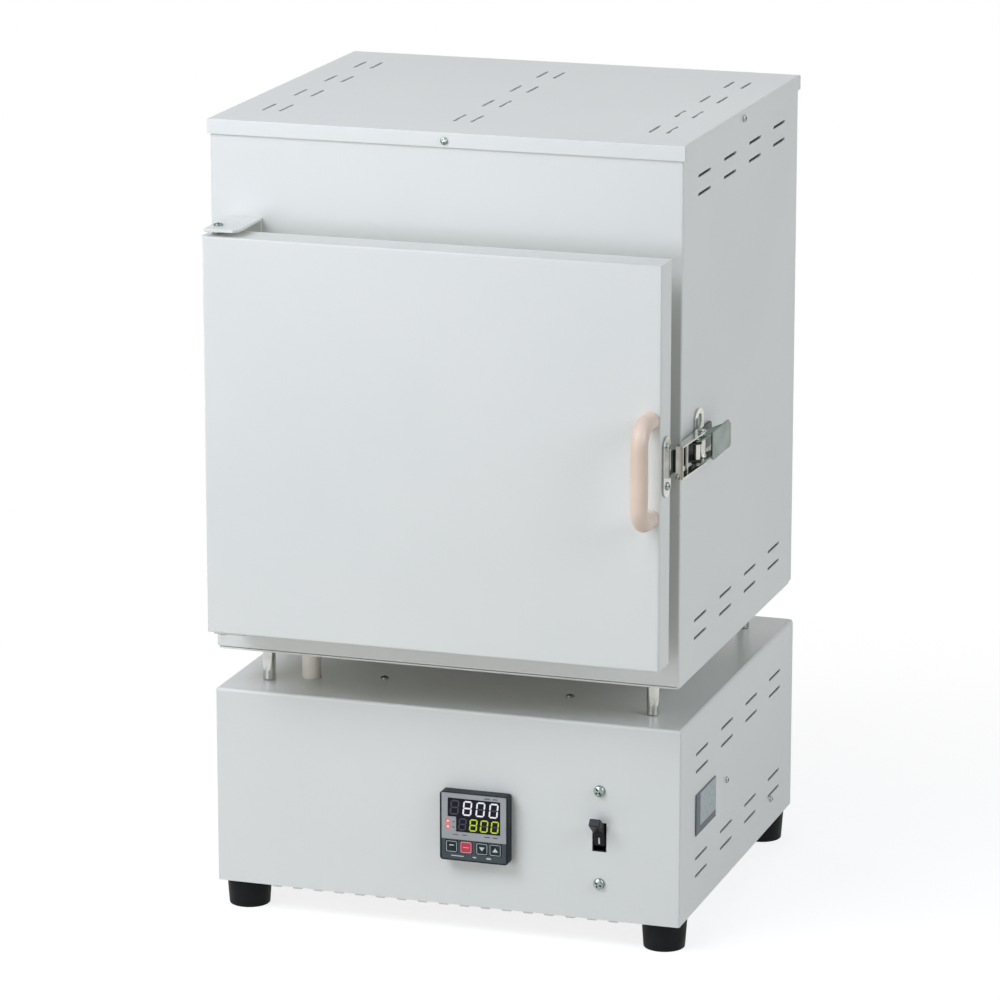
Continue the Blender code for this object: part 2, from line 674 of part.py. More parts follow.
def make_feet(frame):
    """Tapered rubber feet, each with a well for its fixing screw."""
    profile = [
        (FOOT_SCREW_WELL_RADIUS, 0), (FOOT_SOLE_RADIUS - FOOT_EDGE, 0), (FOOT_SOLE_RADIUS, FOOT_EDGE),
        (FOOT_TOP_RADIUS, FOOT_HEIGHT), (0, FOOT_HEIGHT), (0, FOOT_SCREW_WELL_DEPTH),
        (FOOT_SCREW_WELL_RADIUS, FOOT_SCREW_WELL_DEPTH),
    ]
    for depth, y in (("front", FOOT_INSET_Y), ("rear", BASE_DEPTH - FOOT_INSET_Y)):
        for side, way in (("left", -1), ("right", 1)):
            at = (way * (X_BASE - FOOT_INSET_X), y, 0)
            foot = add_piece(f"foot_{depth}_{side}", turned_mesh(profile), at, "rubber", frame)
            smooth(foot)


def make_posts(frame):
    """Bright posts that carry the body over the base."""
    low, high = Z_BASE_TOP + TOUCH, Z_BODY - TOUCH
    profile = [
        (0, low), (POST_RADIUS - POST_CHAMFER, low), (POST_RADIUS, low + POST_CHAMFER),
        (POST_RADIUS, high - POST_CHAMFER), (POST_RADIUS - POST_CHAMFER, high), (0, high),
    ]
    for depth, y in (("front", POST_INSET_Y), ("rear", BODY_DEPTH - POST_INSET_Y)):
        for side, way in (("left", -1), ("right", 1)):
            at = (way * (X_BODY - POST_INSET_X), y, 0)
            post = add_piece(f"post_{depth}_{side}", turned_mesh(profile), at, "chrome", frame)
            smooth(post)


def make_conduit(frame):
    low, high = Z_BASE_TOP - CONDUIT_REACH, Z_BODY + CONDUIT_REACH
    profile = [(CONDUIT_BORE_RADIUS, low), (CONDUIT_RADIUS, low), (CONDUIT_RADIUS, high),
               (CONDUIT_BORE_RADIUS, high)]
    tube = add_piece("conduit_tube", turned_mesh(profile), (CONDUIT_X, CONDUIT_Y, 0), "tube", frame)
    smooth(tube)


def make_rating_plate(frame):
    x = X_BASE + TOUCH
    low = (x, PLATE_FRONT, Z_BASE + PLATE_BOTTOM)
    high = (x + PLATE_THICKNESS, PLATE_FRONT + PLATE_LENGTH, Z_BASE + PLATE_BOTTOM + PLATE_HEIGHT)
    add_piece("rating_plate", box_mesh(low, high), (0, 0, 0), "galvanised", frame)


def make_gland(frame):
    """The power cord's gland in the back panel: thread inside, nut and dome outside."""
    panel_front = -SHEET
    profile = [
        (GLAND_BORE_RADIUS, panel_front - GLAND_THREAD), (GLAND_RADIUS, panel_front - GLAND_THREAD),
        (GLAND_RADIUS, TOUCH), (GLAND_NUT_RADIUS, TOUCH), (GLAND_NUT_RADIUS, GLAND_NUT),
        (GLAND_RADIUS, GLAND_NUT), (GLAND_DOME_RADIUS, TOUCH + GLAND_NUT + GLAND_DOME),
        (GLAND_BORE_RADIUS, TOUCH + GLAND_NUT + GLAND_DOME),
    ]
    gland = add_piece("cord_gland", turned_mesh(profile, ALONG_Y), GLAND, "black", frame)
    smooth(gland)


def make_relay(frame):
    width, depth, height = RELAY_SIZE
    z = Z_BASE + SHEET + TOUCH
    bm = box_mesh((RELAY_X - width / 2, RELAY_Y - depth / 2, z),
                  (RELAY_X + width / 2, RELAY_Y + depth / 2, z + height))
    relay = add_piece("solid_state_relay", bm, (0, 0, 0), "black", frame)
    notches = bmesh.new()
    for way in (-1, 1):
        y = RELAY_Y + way * depth / 2
        add_box(notches, (RELAY_X - width / 4, y - TERMINAL_SLOT_DEPTH, z + height / 2),
                (RELAY_X + width / 4, y + TERMINAL_SLOT_DEPTH, z + height + OVERRUN))
    cut(relay, notches)


def make_terminal_block(frame):
    width, depth, height = TERMINAL_SIZE
    z = Z_BASE + SHEET + TOUCH
    low = (TERMINAL_X - width / 2, TERMINAL_Y - depth / 2, z)
    high = (TERMINAL_X + width / 2, TERMINAL_Y + depth / 2, z + height)
    block = add_piece("terminal_block", box_mesh(low, high), (0, 0, 0), "cream", frame)
    wells = bmesh.new()
    pitch = width / TERMINAL_SLOTS
    for x in row_of(TERMINAL_X - width / 2 + pitch / 2, pitch, TERMINAL_SLOTS):
        add_box(wells, (x - TERMINAL_SLOT_WIDTH / 2, TERMINAL_Y - depth / 2 + TERMINAL_WALL,
                        z + height - TERMINAL_SLOT_DEPTH),
                (x + TERMINAL_SLOT_WIDTH / 2, TERMINAL_Y + depth / 2 - TERMINAL_WALL, z + height + OVERRUN))
    cut(block, wells)


# Controller


def window_outline(grow):
    """The display window's stepped outline, about the controller's middle."""
    return [
        (WINDOW_LEFT - grow, WINDOW_TOP + grow), (WINDOW_LEFT - grow, WINDOW_STEP_Z - grow),
        (WINDOW_STEP_X - grow, WINDOW_STEP_Z - grow), (WINDOW_STEP_X - grow, WINDOW_BOTTOM - grow),
        (WINDOW_RIGHT + grow, WINDOW_BOTTOM - grow), (WINDOW_RIGHT + grow, WINDOW_TOP + grow),
    ]


def make_controller(frame):
    bezel = prism_mesh(rounded_rectangle(BEZEL_SIZE, BEZEL_SIZE, BEZEL_CORNER), "Y", -BEZEL_DEPTH, -TOUCH)
    case = add_piece("controller_case", bezel, CONTROLLER, "black", frame)
    half = CASE_SIZE / 2
    join(case, box_mesh((-half, -BEZEL_DEPTH / 2, -half), (half, CASE_DEPTH, half)))
    face_half_width, face_half_height = FACE_WIDTH / 2 + FACE_FIT, FACE_HEIGHT / 2 + FACE_FIT
    cut(case, box_mesh((-face_half_width, -BEZEL_DEPTH - OVERRUN, -face_half_height),
                       (face_half_width, -BEZEL_DEPTH + FACE_RECESS, face_half_height)))
    cut(case, box_mesh((-POCKET_WIDTH / 2, -BEZEL_DEPTH, POCKET_BOTTOM),
                       (POCKET_WIDTH / 2, -BEZEL_DEPTH + POCKET_DEPTH, POCKET_TOP)))
    face_back = -BEZEL_DEPTH + FACE_RECESS - TOUCH
    face_front = face_back - FACE_SHEET
    bm = box_mesh((-FACE_WIDTH / 2, face_front, -FACE_HEIGHT / 2),
                  (FACE_WIDTH / 2, face_back, FACE_HEIGHT / 2))
    face = add_piece("controller_face", bm, CONTROLLER, "face", frame)
    holes = bmesh.new()
    add_prism(holes, window_outline(TOUCH), "Y", face_front - OVERRUN, face_back + OVERRUN)
    half = KEY_SIZE / 2 + TOUCH
    for x in KEY_CENTRES:
        add_box(holes, (x - half, face_front - OVERRUN, KEY_Z - half),
                (x + half, face_back + OVERRUN, KEY_Z + half))
    cut(face, holes)
    window_front = face_front - WINDOW_PROUD
    window = prism_mesh(window_outline(0), "Y", window_front, window_front + WINDOW_THICKNESS)
    add_piece("display_window", window, CONTROLLER, "window", frame)
    key_front = face_front - KEY_PROUD
    for name, x in zip(KEY_NAMES, KEY_CENTRES):
        outline = rounded_rectangle(KEY_SIZE, KEY_SIZE, KEY_CORNER, 2)
        key = prism_mesh(outline, "Y", 0, KEY_LENGTH)
        look = "red" if name == "run_key" else "black"
        add_piece(name, key, CONTROLLER + Vector((x, key_front, KEY_Z)), look, frame)


def make_controller_clamp(frame):
    low, high = SHEET + TOUCH, SHEET + TOUCH + CLAMP_DEPTH
    bm = box_mesh((-CLAMP_WIDTH / 2, low, -CLAMP_HEIGHT / 2), (CLAMP_WIDTH / 2, high, CLAMP_HEIGHT / 2))
    clamp = add_piece("controller_clamp", bm, CONTROLLER, "black", frame)
    half = CASE_SIZE / 2 + TOUCH
    cut(clamp, box_mesh((-half, low - OVERRUN, -half), (half, high + OVERRUN, half)))


# Power switch


def make_switch(frame, swing):
    plate_front = SHEET + TOUCH
    body_front = plate_front + SWITCH_PLATE_SHEET + TOUCH
    nose_half_x = SWITCH_OPENING_WIDTH / 2 - TOUCH
    nose_half_z = SWITCH_OPENING_HEIGHT / 2 - TOUCH
    at = Vector((SWITCH_X, 0, SWITCH_AXIS.z))
    half_x, half_z = SWITCH_PLATE_WIDTH / 2, SWITCH_PLATE_HEIGHT / 2
    plate = add_piece("switch_bracket", box_mesh((-half_x, plate_front, -half_z),
                      (half_x, plate_front + SWITCH_PLATE_SHEET, half_z)), at, "galvanised", frame)
    holes = bmesh.new()
    add_box(holes, (-nose_half_x - TOUCH, plate_front - OVERRUN, -nose_half_z - TOUCH),
            (nose_half_x + TOUCH, body_front + OVERRUN, nose_half_z + TOUCH))
    for way in (-1, 1):
        add_cylinder(holes, (0, way * SWITCH_SCREW_PITCH / 2), "Y", SWITCH_SCREW_RADIUS + SCREW_CLEARANCE,
                     plate_front - OVERRUN, body_front + OVERRUN, FINE_STEPS)
    cut(plate, holes)
    half_x, half_z = SWITCH_BODY_WIDTH / 2, SWITCH_BODY_HEIGHT / 2
    body = add_piece("switch_body", box_mesh((-half_x, body_front, -half_z),
                     (half_x, body_front + SWITCH_BODY_DEPTH, half_z)), at, "black", frame)
    join(body, box_mesh((-nose_half_x, SWITCH_NOSE_RECESS, -nose_half_z),
                        (nose_half_x, body_front + SHEET, nose_half_z)))
    inner_x, inner_z = nose_half_x - SWITCH_WALL, nose_half_z - SWITCH_WALL
    cavity_back = SWITCH_AXIS_Y + SWITCH_DRUM_RADIUS + SWITCH_DRUM_CLEARANCE
    cut(body, box_mesh((-inner_x, -OVERRUN, -inner_z), (inner_x, cavity_back, inner_z)))
    drum = bmesh.new()
    half = SWITCH_LEVER_WIDTH / 2
    add_cylinder(drum, (0, 0), "X", SWITCH_DRUM_RADIUS, -half, half, ROUND_STEPS)
    lever = add_piece("switch_lever", drum, SWITCH_AXIS, "black", swing)
    along = Vector((-math.cos(SWITCH_TILT), math.sin(SWITCH_TILT)))
    across = Vector((along.y, -along.x))
    reach = along * SWITCH_LEVER_REACH
    tongue = [tuple(across * SWITCH_LEVER_ROOT), tuple(reach + across * SWITCH_LEVER_TIP),
              tuple(reach - across * SWITCH_LEVER_TIP), tuple(-across * SWITCH_LEVER_ROOT)]
    join(lever, prism_mesh(tongue, "X", -half, half))
    smooth(lever)
    head = SWITCH_SCREW_HEAD_RADIUS
    profile = [(0, -SWITCH_SCREW_HEAD - TOUCH), (head / 2, -SWITCH_SCREW_HEAD - TOUCH),
               (head, -SWITCH_SCREW_HEAD / 2 - TOUCH), (head, -TOUCH), (SWITCH_SCREW_RADIUS, -TOUCH),
               (SWITCH_SCREW_RADIUS, SWITCH_SCREW_LENGTH), (0, SWITCH_SCREW_LENGTH)]
    for name, way in (("switch_screw_lower", -1), ("switch_screw_upper", 1)):
        place = at + Vector((0, 0, way * SWITCH_SCREW_PITCH / 2))
        screw = add_piece(name, turned_mesh(profile, ALONG_Y, FINE_STEPS), place, "chrome", frame)
        smooth(screw)


# Body casing


def make_casing(frame):
    """Front and both sides in one folded sheet, with the mouth and the vent slots."""
    bm = bmesh.new()
    edges = add_box(bm, (-X_BODY, 0, Z_BODY), (X_BODY, BODY_DEPTH, Z_CASING_TOP))
    upright = lambda mid, edge: mid.y < TOUCH and abs(edge.verts[0].co.z - edge.verts[1].co.z) > TOUCH
    round_edges(bm, edges, upright, CORNER_RADIUS)
    casing = add_piece("casing_wrap", bm, (0, 0, 0), "enamel", frame)
    cut(casing, box_mesh((-X_BODY + SHEET, SHEET, Z_BODY - OVERRUN),
                         (X_BODY - SHEET, BODY_DEPTH + OVERRUN, Z_CASING_TOP + OVERRUN)))
    holes = bmesh.new()
    add_box(holes, (-MOUTH_WIDTH / 2, -OVERRUN, Z_MIDDLE - MOUTH_HEIGHT / 2),
            (MOUTH_WIDTH / 2, SHEET + OVERRUN, Z_MIDDLE + MOUTH_HEIGHT / 2))
    columns = side_slot_columns(BODY_SLOT_FRONT, BODY_DEPTH - BODY_SLOT_REAR)
    rows = [Z_BODY + low + lift for low in (BODY_SLOT_LOW, BODY_SLOT_HIGH) for lift in (0, SLOT_ROW_GAP)]
    for side in (-1, 1):
        ends = sorted((side * (X_BODY - SHEET - OVERRUN), side * (X_BODY + OVERRUN)))
        slots(holes, "X", columns, rows, SIDE_SLOT_LENGTH, *ends)
    cut(casing, holes)


def make_casing_floor(frame):
    outer, inner = pan_mesh(X_BODY - SHEET - TOUCH, Y_INNER, BODY_DEPTH - SHEET - TOUCH, Z_BODY,
                            FLOOR_FLANGE, SHEET)
    floor = add_piece("casing_floor", outer, (0, 0, 0), "enamel", frame)
    cut(floor, inner)
    hole = bmesh.new()
    add_cylinder(hole, (CONDUIT_X, CONDUIT_Y), "Z", CONDUIT_RADIUS + TOUCH, Z_BODY - OVERRUN,
                 Z_BODY + SHEET + OVERRUN)
    cut(floor, hole)


def make_casing_back(frame):
    half = X_BODY - SHEET - TOUCH
    sheet = box_mesh((-half, BODY_DEPTH - SHEET, Z_BODY), (half, BODY_DEPTH, Z_CASING_TOP))
    panel = add_piece("casing_back", sheet, (0, 0, 0), "enamel", frame)
    holes = bmesh.new()
    columns = row_of(-BACK_SLOT_PITCH * (BACK_SLOT_COLUMNS - 1) / 2, BACK_SLOT_PITCH, BACK_SLOT_COLUMNS)
    rows = (Z_BODY + BACK_SLOT_INSET, Z_BODY + BACK_SLOT_INSET + SLOT_ROW_GAP,
            Z_CASING_TOP - BACK_SLOT_INSET - SLOT_ROW_GAP, Z_CASING_TOP - BACK_SLOT_INSET)
    slots(holes, "Y", columns, rows, BACK_SLOT_LENGTH, BODY_DEPTH - SHEET - OVERRUN, BODY_DEPTH + OVERRUN)
    cut(panel, holes)


def make_lid(frame):
    half = X_BODY + LID_OVERHANG
    front, back = -LID_OVERHANG, BODY_DEPTH + LID_OVERHANG
    bm = bmesh.new()
    edges = add_box(bm, (-half, front, Z_LID_TOP - LID_LIP), (half, back, Z_LID_TOP))
    round_edges(bm, edges, lambda mid, edge: mid.z > Z_LID_TOP - TOUCH, LID_EDGE_RADIUS)
    lid = add_piece("lid", bm, (0, 0, 0), "enamel", frame)
    cut(lid, box_mesh((-half + LID_SHEET, front + LID_SHEET, Z_LID_TOP - LID_LIP - OVERRUN),
                      (half - LID_SHEET, back - LID_SHEET, Z_LID_TOP - LID_SHEET)))
    holes = bmesh.new()
    rows = [group + way * LID_SLOT_PAIR / 2 for group in (-X_LID_SLOTS, 0, X_LID_SLOTS) for way in (-1, 1)]
    columns = row_of(BODY_DEPTH / 2 - LID_SLOT_PITCH * (LID_SLOT_ROWS - 1) / 2, LID_SLOT_PITCH, LID_SLOT_ROWS)
    slots(holes, "Z", columns, rows, LID_SLOT_LENGTH, Z_LID_TOP - LID_SHEET - OVERRUN, Z_LID_TOP + OVERRUN)
    for side in (-1, 1):
        ends = sorted((side * (half - LID_SHEET - TOUCH), side * (half + OVERRUN)))
        for seam in (front + LID_SHEET, back - LID_SHEET - LID_SEAM):
            add_box(holes, (ends[0], seam, Z_LID_TOP - LID_LIP - OVERRUN),
                    (ends[1], seam + LID_SEAM, Z_LID_TOP - LID_SHEET))
    cut(lid, holes)


# Heated chamber


def make_core(frame):
    """Five fibre boards round the chamber, and the probe through the back one."""
    half = CHAMBER_WIDTH / 2
    board_back = Y_CHAMBER_BACK
    wall_low, wall_high = Z_CHAMBER + TOUCH, Z_CHAMBER_TOP - TOUCH
    boards = {
        "insulation_floor": ((-X_CORE, Y_INNER, Z_CORE), (X_CORE, board_back, Z_CHAMBER)),
        "insulation_roof": ((-X_CORE, Y_INNER, Z_CHAMBER_TOP), (X_CORE, board_back, Z_CORE_TOP)),
        "insulation_left": ((-X_CORE, Y_INNER, wall_low), (-half, board_back, wall_high)),
        "insulation_right": ((half, Y_INNER, wall_low), (X_CORE, board_back, wall_high)),
        "insulation_back": ((-X_CORE, board_back + TOUCH, Z_CORE), (X_CORE, Y_CORE_BACK, Z_CORE_TOP)),
    }
    pieces = {name: add_piece(name, box_mesh(low, high), (0, 0, 0), "fibre", frame)
              for name, (low, high) in boards.items()}
    z_probe = Z_CHAMBER_TOP - PROBE_DROP
    probe_hole = bmesh.new()
    add_cylinder(probe_hole, (0, z_probe), "Y", PROBE_RADIUS + PROBE_CLEARANCE, board_back - OVERRUN,
                 Y_CORE_BACK + OVERRUN, FINE_STEPS)
    cut(pieces["insulation_back"], probe_hole)
    head_front = Y_CORE_BACK + TOUCH
    profile = [(0, Y_CHAMBER_BACK - PROBE_REACH), (PROBE_RADIUS, Y_CHAMBER_BACK - PROBE_REACH),
               (PROBE_RADIUS, head_front), (PROBE_HEAD_RADIUS, head_front),
               (PROBE_HEAD_RADIUS, head_front + PROBE_HEAD), (0, head_front + PROBE_HEAD)]
    turned = turned_mesh(profile, ALONG_Y, FINE_STEPS)
    probe = add_piece("thermocouple", turned, (0, 0, z_probe), "chrome", frame)
    smooth(probe)


def make_heater_terminals(frame):
    """Ceramic strip on the back board where the heaters' leads come out."""
    width, depth, height = HEATER_TERMINAL_SIZE
    at = Vector((0, Y_CORE_BACK + TOUCH, Z_MIDDLE - HEATER_TERMINAL_DROP))
    block = box_mesh((-width / 2, 0, -height / 2), (width / 2, depth, height / 2))
    strip = add_piece("heater_terminals", block, at, "ceramic", frame)
    wells = bmesh.new()
    pitch = width / HEATER_TERMINAL_WELLS
    half_well, half_height = pitch / 2 - TERMINAL_WALL, height / 2 - TERMINAL_WALL
    for x in row_of(pitch / 2 - width / 2, pitch, HEATER_TERMINAL_WELLS):
        add_box(wells, (x - half_well, depth - HEATER_TERMINAL_WELL_DEPTH, -half_height),
                (x + half_well, depth + OVERRUN, half_height))
    cut(strip, wells)


def make_rails(frame):
    low = Z_BODY + SHEET + TOUCH
    high = Z_CORE - TOUCH
    for name, way in (("core_rail_left", -1), ("core_rail_right", 1)):
        x = way * X_RAIL
        half = RAIL_WIDTH / 2
        outline = [
            (x - half, low), (x - half + RAIL_SHEET, low), (x - half + RAIL_SHEET, high - RAIL_SHEET),
            (x + half - RAIL_SHEET, high - RAIL_SHEET), (x + half - RAIL_SHEET, low), (x + half, low),
            (x + half, high), (x - half, high),
        ]
        add_piece(name, prism_mesh(outline, "Y", RAIL_FRONT, Y_CORE_BACK), (0, 0, 0), "galvanised", frame)


def make_heaters(frame):
    """Ribbed ceramic heating plates on the chamber's side walls."""
    low, high = Z_CHAMBER + TOUCH, Z_CHAMBER_TOP - TOUCH
    pitch = (high - low - 2 * HEATER_GROOVE_MARGIN) / (HEATER_GROOVES - 1)
    for name, way in (("heater_left", -1), ("heater_right", 1)):
        wall = way * (CHAMBER_WIDTH / 2 - TOUCH)
        face = wall - way * HEATER_THICKNESS
        xs = sorted((wall, face))
        bm = box_mesh((xs[0], Y_INNER + HEATER_FRONT, low), (xs[1], Y_CHAMBER_BACK - HEATER_BACK, high))
        heater = add_piece(name, bm, (0, 0, 0), "ceramic", frame)
        grooves = bmesh.new()
        ends = sorted((face + way * HEATER_GROOVE_DEPTH, face - way * OVERRUN))
        for z in row_of(low + HEATER_GROOVE_MARGIN, pitch, HEATER_GROOVES):
            add_box(grooves, (ends[0], Y_INNER + HEATER_FRONT + HEATER_GROOVE_MARGIN, z - HEATER_GROOVE / 2),
                    (ends[1], Y_CHAMBER_BACK - HEATER_BACK - HEATER_GROOVE_MARGIN, z + HEATER_GROOVE / 2))
        cut(heater, grooves)


def make_hearth(frame):
    low = Z_CHAMBER + TOUCH
    bm = box_mesh((-HEARTH_WIDTH / 2, HEARTH_FRONT, low),
                  (HEARTH_WIDTH / 2, Y_CHAMBER_BACK - HEARTH_BACK, low + HEARTH_THICKNESS))
    add_piece("hearth_plate", bm, (0, 0, 0), "ceramic", frame)


# Door


def make_door(door):
    """Folded pan, board inside it, back sheet, and the plug that fills the mouth."""
    at = Vector(door["place"])
    low = Vector((X_DOOR_LEFT, Y_DOOR_FRONT, Z_DOOR)) - at
    high = Vector((X_DOOR_RIGHT, Y_DOOR_BACK, Z_DOOR_TOP)) - at
    bm = bmesh.new()
    edges = add_box(bm, low, high)
    round_edges(bm, edges, lambda mid, edge: mid.y < low.y + TOUCH, DOOR_EDGE_RADIUS)
    pan = add_piece("door_pan", bm, at, "enamel", door)
    cut(pan, box_mesh((low.x + SHEET, low.y + SHEET, low.z + SHEET),
                      (high.x - SHEET, high.y + OVERRUN, high.z - SHEET)))
    holes = bmesh.new()
    for z in (low.z, high.z - SHEET):
        add_cylinder(holes, (0, 0), "Z", HINGE_PIN_RADIUS + PIN_CLEARANCE, z - OVERRUN, z + SHEET + OVERRUN,
                     FINE_STEPS)
    cut(pan, holes)
    inner = SHEET + TOUCH
    plate_front = high.y - SHEET
    plate = box_mesh((low.x + inner, plate_front, low.z + inner), (high.x - inner, high.y, high.z - inner))
    add_piece("door_back_plate", plate, at, "enamel", door)
    margin = DOOR_BOARD_INSET
    board = box_mesh((low.x + margin, low.y + inner, low.z + margin),
                     (high.x - margin, plate_front - TOUCH, high.z - margin))
    add_piece("door_board", board, at, "fibre", door)
    pad_x, pad_z = MOUTH_WIDTH / 2 - PAD_CLEARANCE, MOUTH_HEIGHT / 2 - PAD_CLEARANCE
    plug_x, plug_z = CHAMBER_WIDTH / 2 - PLUG_CLEARANCE, CHAMBER_HEIGHT / 2 - PLUG_CLEARANCE
    pad_back = Y_INNER - TOUCH - at.y
    pad = box_mesh((-at.x - pad_x, high.y + TOUCH, -pad_z), (-at.x + pad_x, pad_back, pad_z))
    plug = add_piece("door_plug", pad, at, "fibre", door)
    join(plug, box_mesh((-at.x - plug_x, high.y + SHEET, -plug_z),
                        (-at.x + plug_x, pad_back + PLUG_DEPTH, plug_z)))


def handle_route():
    """Centre line of the grip in (y, z) about its own middle: foot, bend, bar, bend, foot."""
    half = HANDLE_PITCH / 2
    route = [(0, half)]
    for way in (1, -1):
        arc = []
        for i in range(HANDLE_BEND_STEPS + 1):
            angle = math.pi / 2 * i / HANDLE_BEND_STEPS
            y = -HANDLE_STANDOFF + HANDLE_BEND - HANDLE_BEND * math.sin(angle)
            z = half - HANDLE_BEND + HANDLE_BEND * math.cos(angle)
            arc.append((y, way * z))
        route += arc if way == 1 else list(reversed(arc))
    route.append((0, -half))
    return route


def make_handle(door):
    route = handle_route()
    bm = bmesh.new()
    rings = []
    for i, (y, z) in enumerate(route):
        before, after = route[max(i - 1, 0)], route[min(i + 1, len(route) - 1)]
        tangent = Vector((0, after[0] - before[0], after[1] - before[1])).normalized()
        across = tangent.cross(X_AXIS).normalized()
        ring = []
        for k in range(HANDLE_SIDES):
            angle = 2 * math.pi * k / HANDLE_SIDES
            offset = X_AXIS * math.cos(angle) + across * math.sin(angle)
            ring.append(bm.verts.new(Vector((0, y, z)) + offset * HANDLE_RADIUS))
        rings.append(ring)
    for here, there in zip(rings, rings[1:]):
        for k in range(HANDLE_SIDES):
            n = (k + 1) % HANDLE_SIDES
            bm.faces.new((here[k], here[n], there[n], there[k]))
    bm.faces.new(rings[0])
    bm.faces.new(list(reversed(rings[-1])))
    at = (X_DOOR_RIGHT - HANDLE_INSET, Y_DOOR_FRONT - TOUCH, Z_LATCH)
    handle = add_piece("door_handle", bm, at, "handle", door)
    smooth(handle)


def make_keeper(door):
    """Plate on the door's edge, with a tongue whose lip the latch's loop draws against."""
    at = Vector((X_DOOR_RIGHT + TOUCH, Y_DOOR_BACK - KEEPER_SETBACK - KEEPER_WIDTH / 2, Z_LATCH))
    outline = rounded_rectangle(KEEPER_WIDTH, KEEPER_HEIGHT, KEEPER_WIDTH / 2 - TOUCH, 5)
    keeper = add_piece("latch_keeper", prism_mesh(outline, "X", 0, KEEPER_SHEET), at, "chrome", door)
    end = KEEPER_WIDTH / 2 + KEEPER_TONGUE
    tongue = [(0, 0), (KEEPER_SHEET, 0), (KEEPER_SHEET, end - KEEPER_SHEET), (KEEPER_LIP, end - KEEPER_SHEET),
              (KEEPER_LIP, end), (0, end)]
    join(keeper, prism_mesh(tongue, "Z", -KEEPER_TONGUE_HALF, KEEPER_TONGUE_HALF))
    holes = bmesh.new()
    for way in (-1, 1):
        add_cylinder(holes, (0, way * KEEPER_HOLE_PITCH / 2), "X", KEEPER_HOLE_RADIUS, -OVERRUN,
                     KEEPER_SHEET + OVERRUN, FINE_STEPS)
    cut(keeper, holes)


def make_hinges(frame):
    """Bracket plates above and below the door, each with its pin."""
    left = X_DOOR_LEFT + HINGE_PLATE_LEFT - HINGE_AXIS.x
    right = left + HINGE_PLATE_WIDTH
    wall = -TOUCH - HINGE_AXIS.y
    upper_front = Y_DOOR_FRONT - HINGE_PLATE_FRONT - HINGE_AXIS.y
    upper = ("upper", 1, Z_DOOR_TOP, HINGE_UPPER_PLAY, upper_front)
    lower = ("lower", -1, Z_DOOR, HINGE_LOWER_PLAY, -HINGE_LOWER_FRONT)
    for name, way, edge, play, front in (upper, lower):
        outline = [(left, wall), (left, front), (right - HINGE_CHAMFER_WIDTH, front),
                   (right, front + HINGE_CHAMFER_DEPTH), (right, wall)]
        near = way * play
        far = near + way * HINGE_PLATE
        at = Vector((HINGE_AXIS.x, HINGE_AXIS.y, edge))
        plate = prism_mesh(outline, "Z", *sorted((near, far)))
        bracket = add_piece(f"hinge_bracket_{name}", plate, at, "enamel", frame)
        levels = sorted((far, far - way * HINGE_LEG))
        join(bracket, box_mesh((left, wall - HINGE_PLATE, levels[0]), (right, wall, levels[1])))
        hole = bmesh.new()
        levels = sorted((near - way * OVERRUN, far + way * OVERRUN))
        add_cylinder(hole, (0, 0), "Z", HINGE_PIN_RADIUS + PIN_CLEARANCE, *levels, FINE_STEPS)
        cut(bracket, hole)
        head = far + way * TOUCH
        profile = [(0, -way * HINGE_PIN_REACH), (HINGE_PIN_RADIUS, -way * HINGE_PIN_REACH),
                   (HINGE_PIN_RADIUS, way * TOUCH), (HINGE_COLLAR_RADIUS, way * TOUCH),
                   (HINGE_COLLAR_RADIUS, near - way * TOUCH), (HINGE_PIN_RADIUS, near - way * TOUCH),
                   (HINGE_PIN_RADIUS, head), (HINGE_HEAD_RADIUS, head),
                   (HINGE_HEAD_RADIUS, head + way * HINGE_HEAD), (0, head + way * HINGE_HEAD)]
        turned = turned_mesh(profile, UPRIGHT, FINE_STEPS)
        pin = add_piece(f"hinge_pin_{name}", turned, at, "chrome", frame)
        smooth(pin)


# Latch


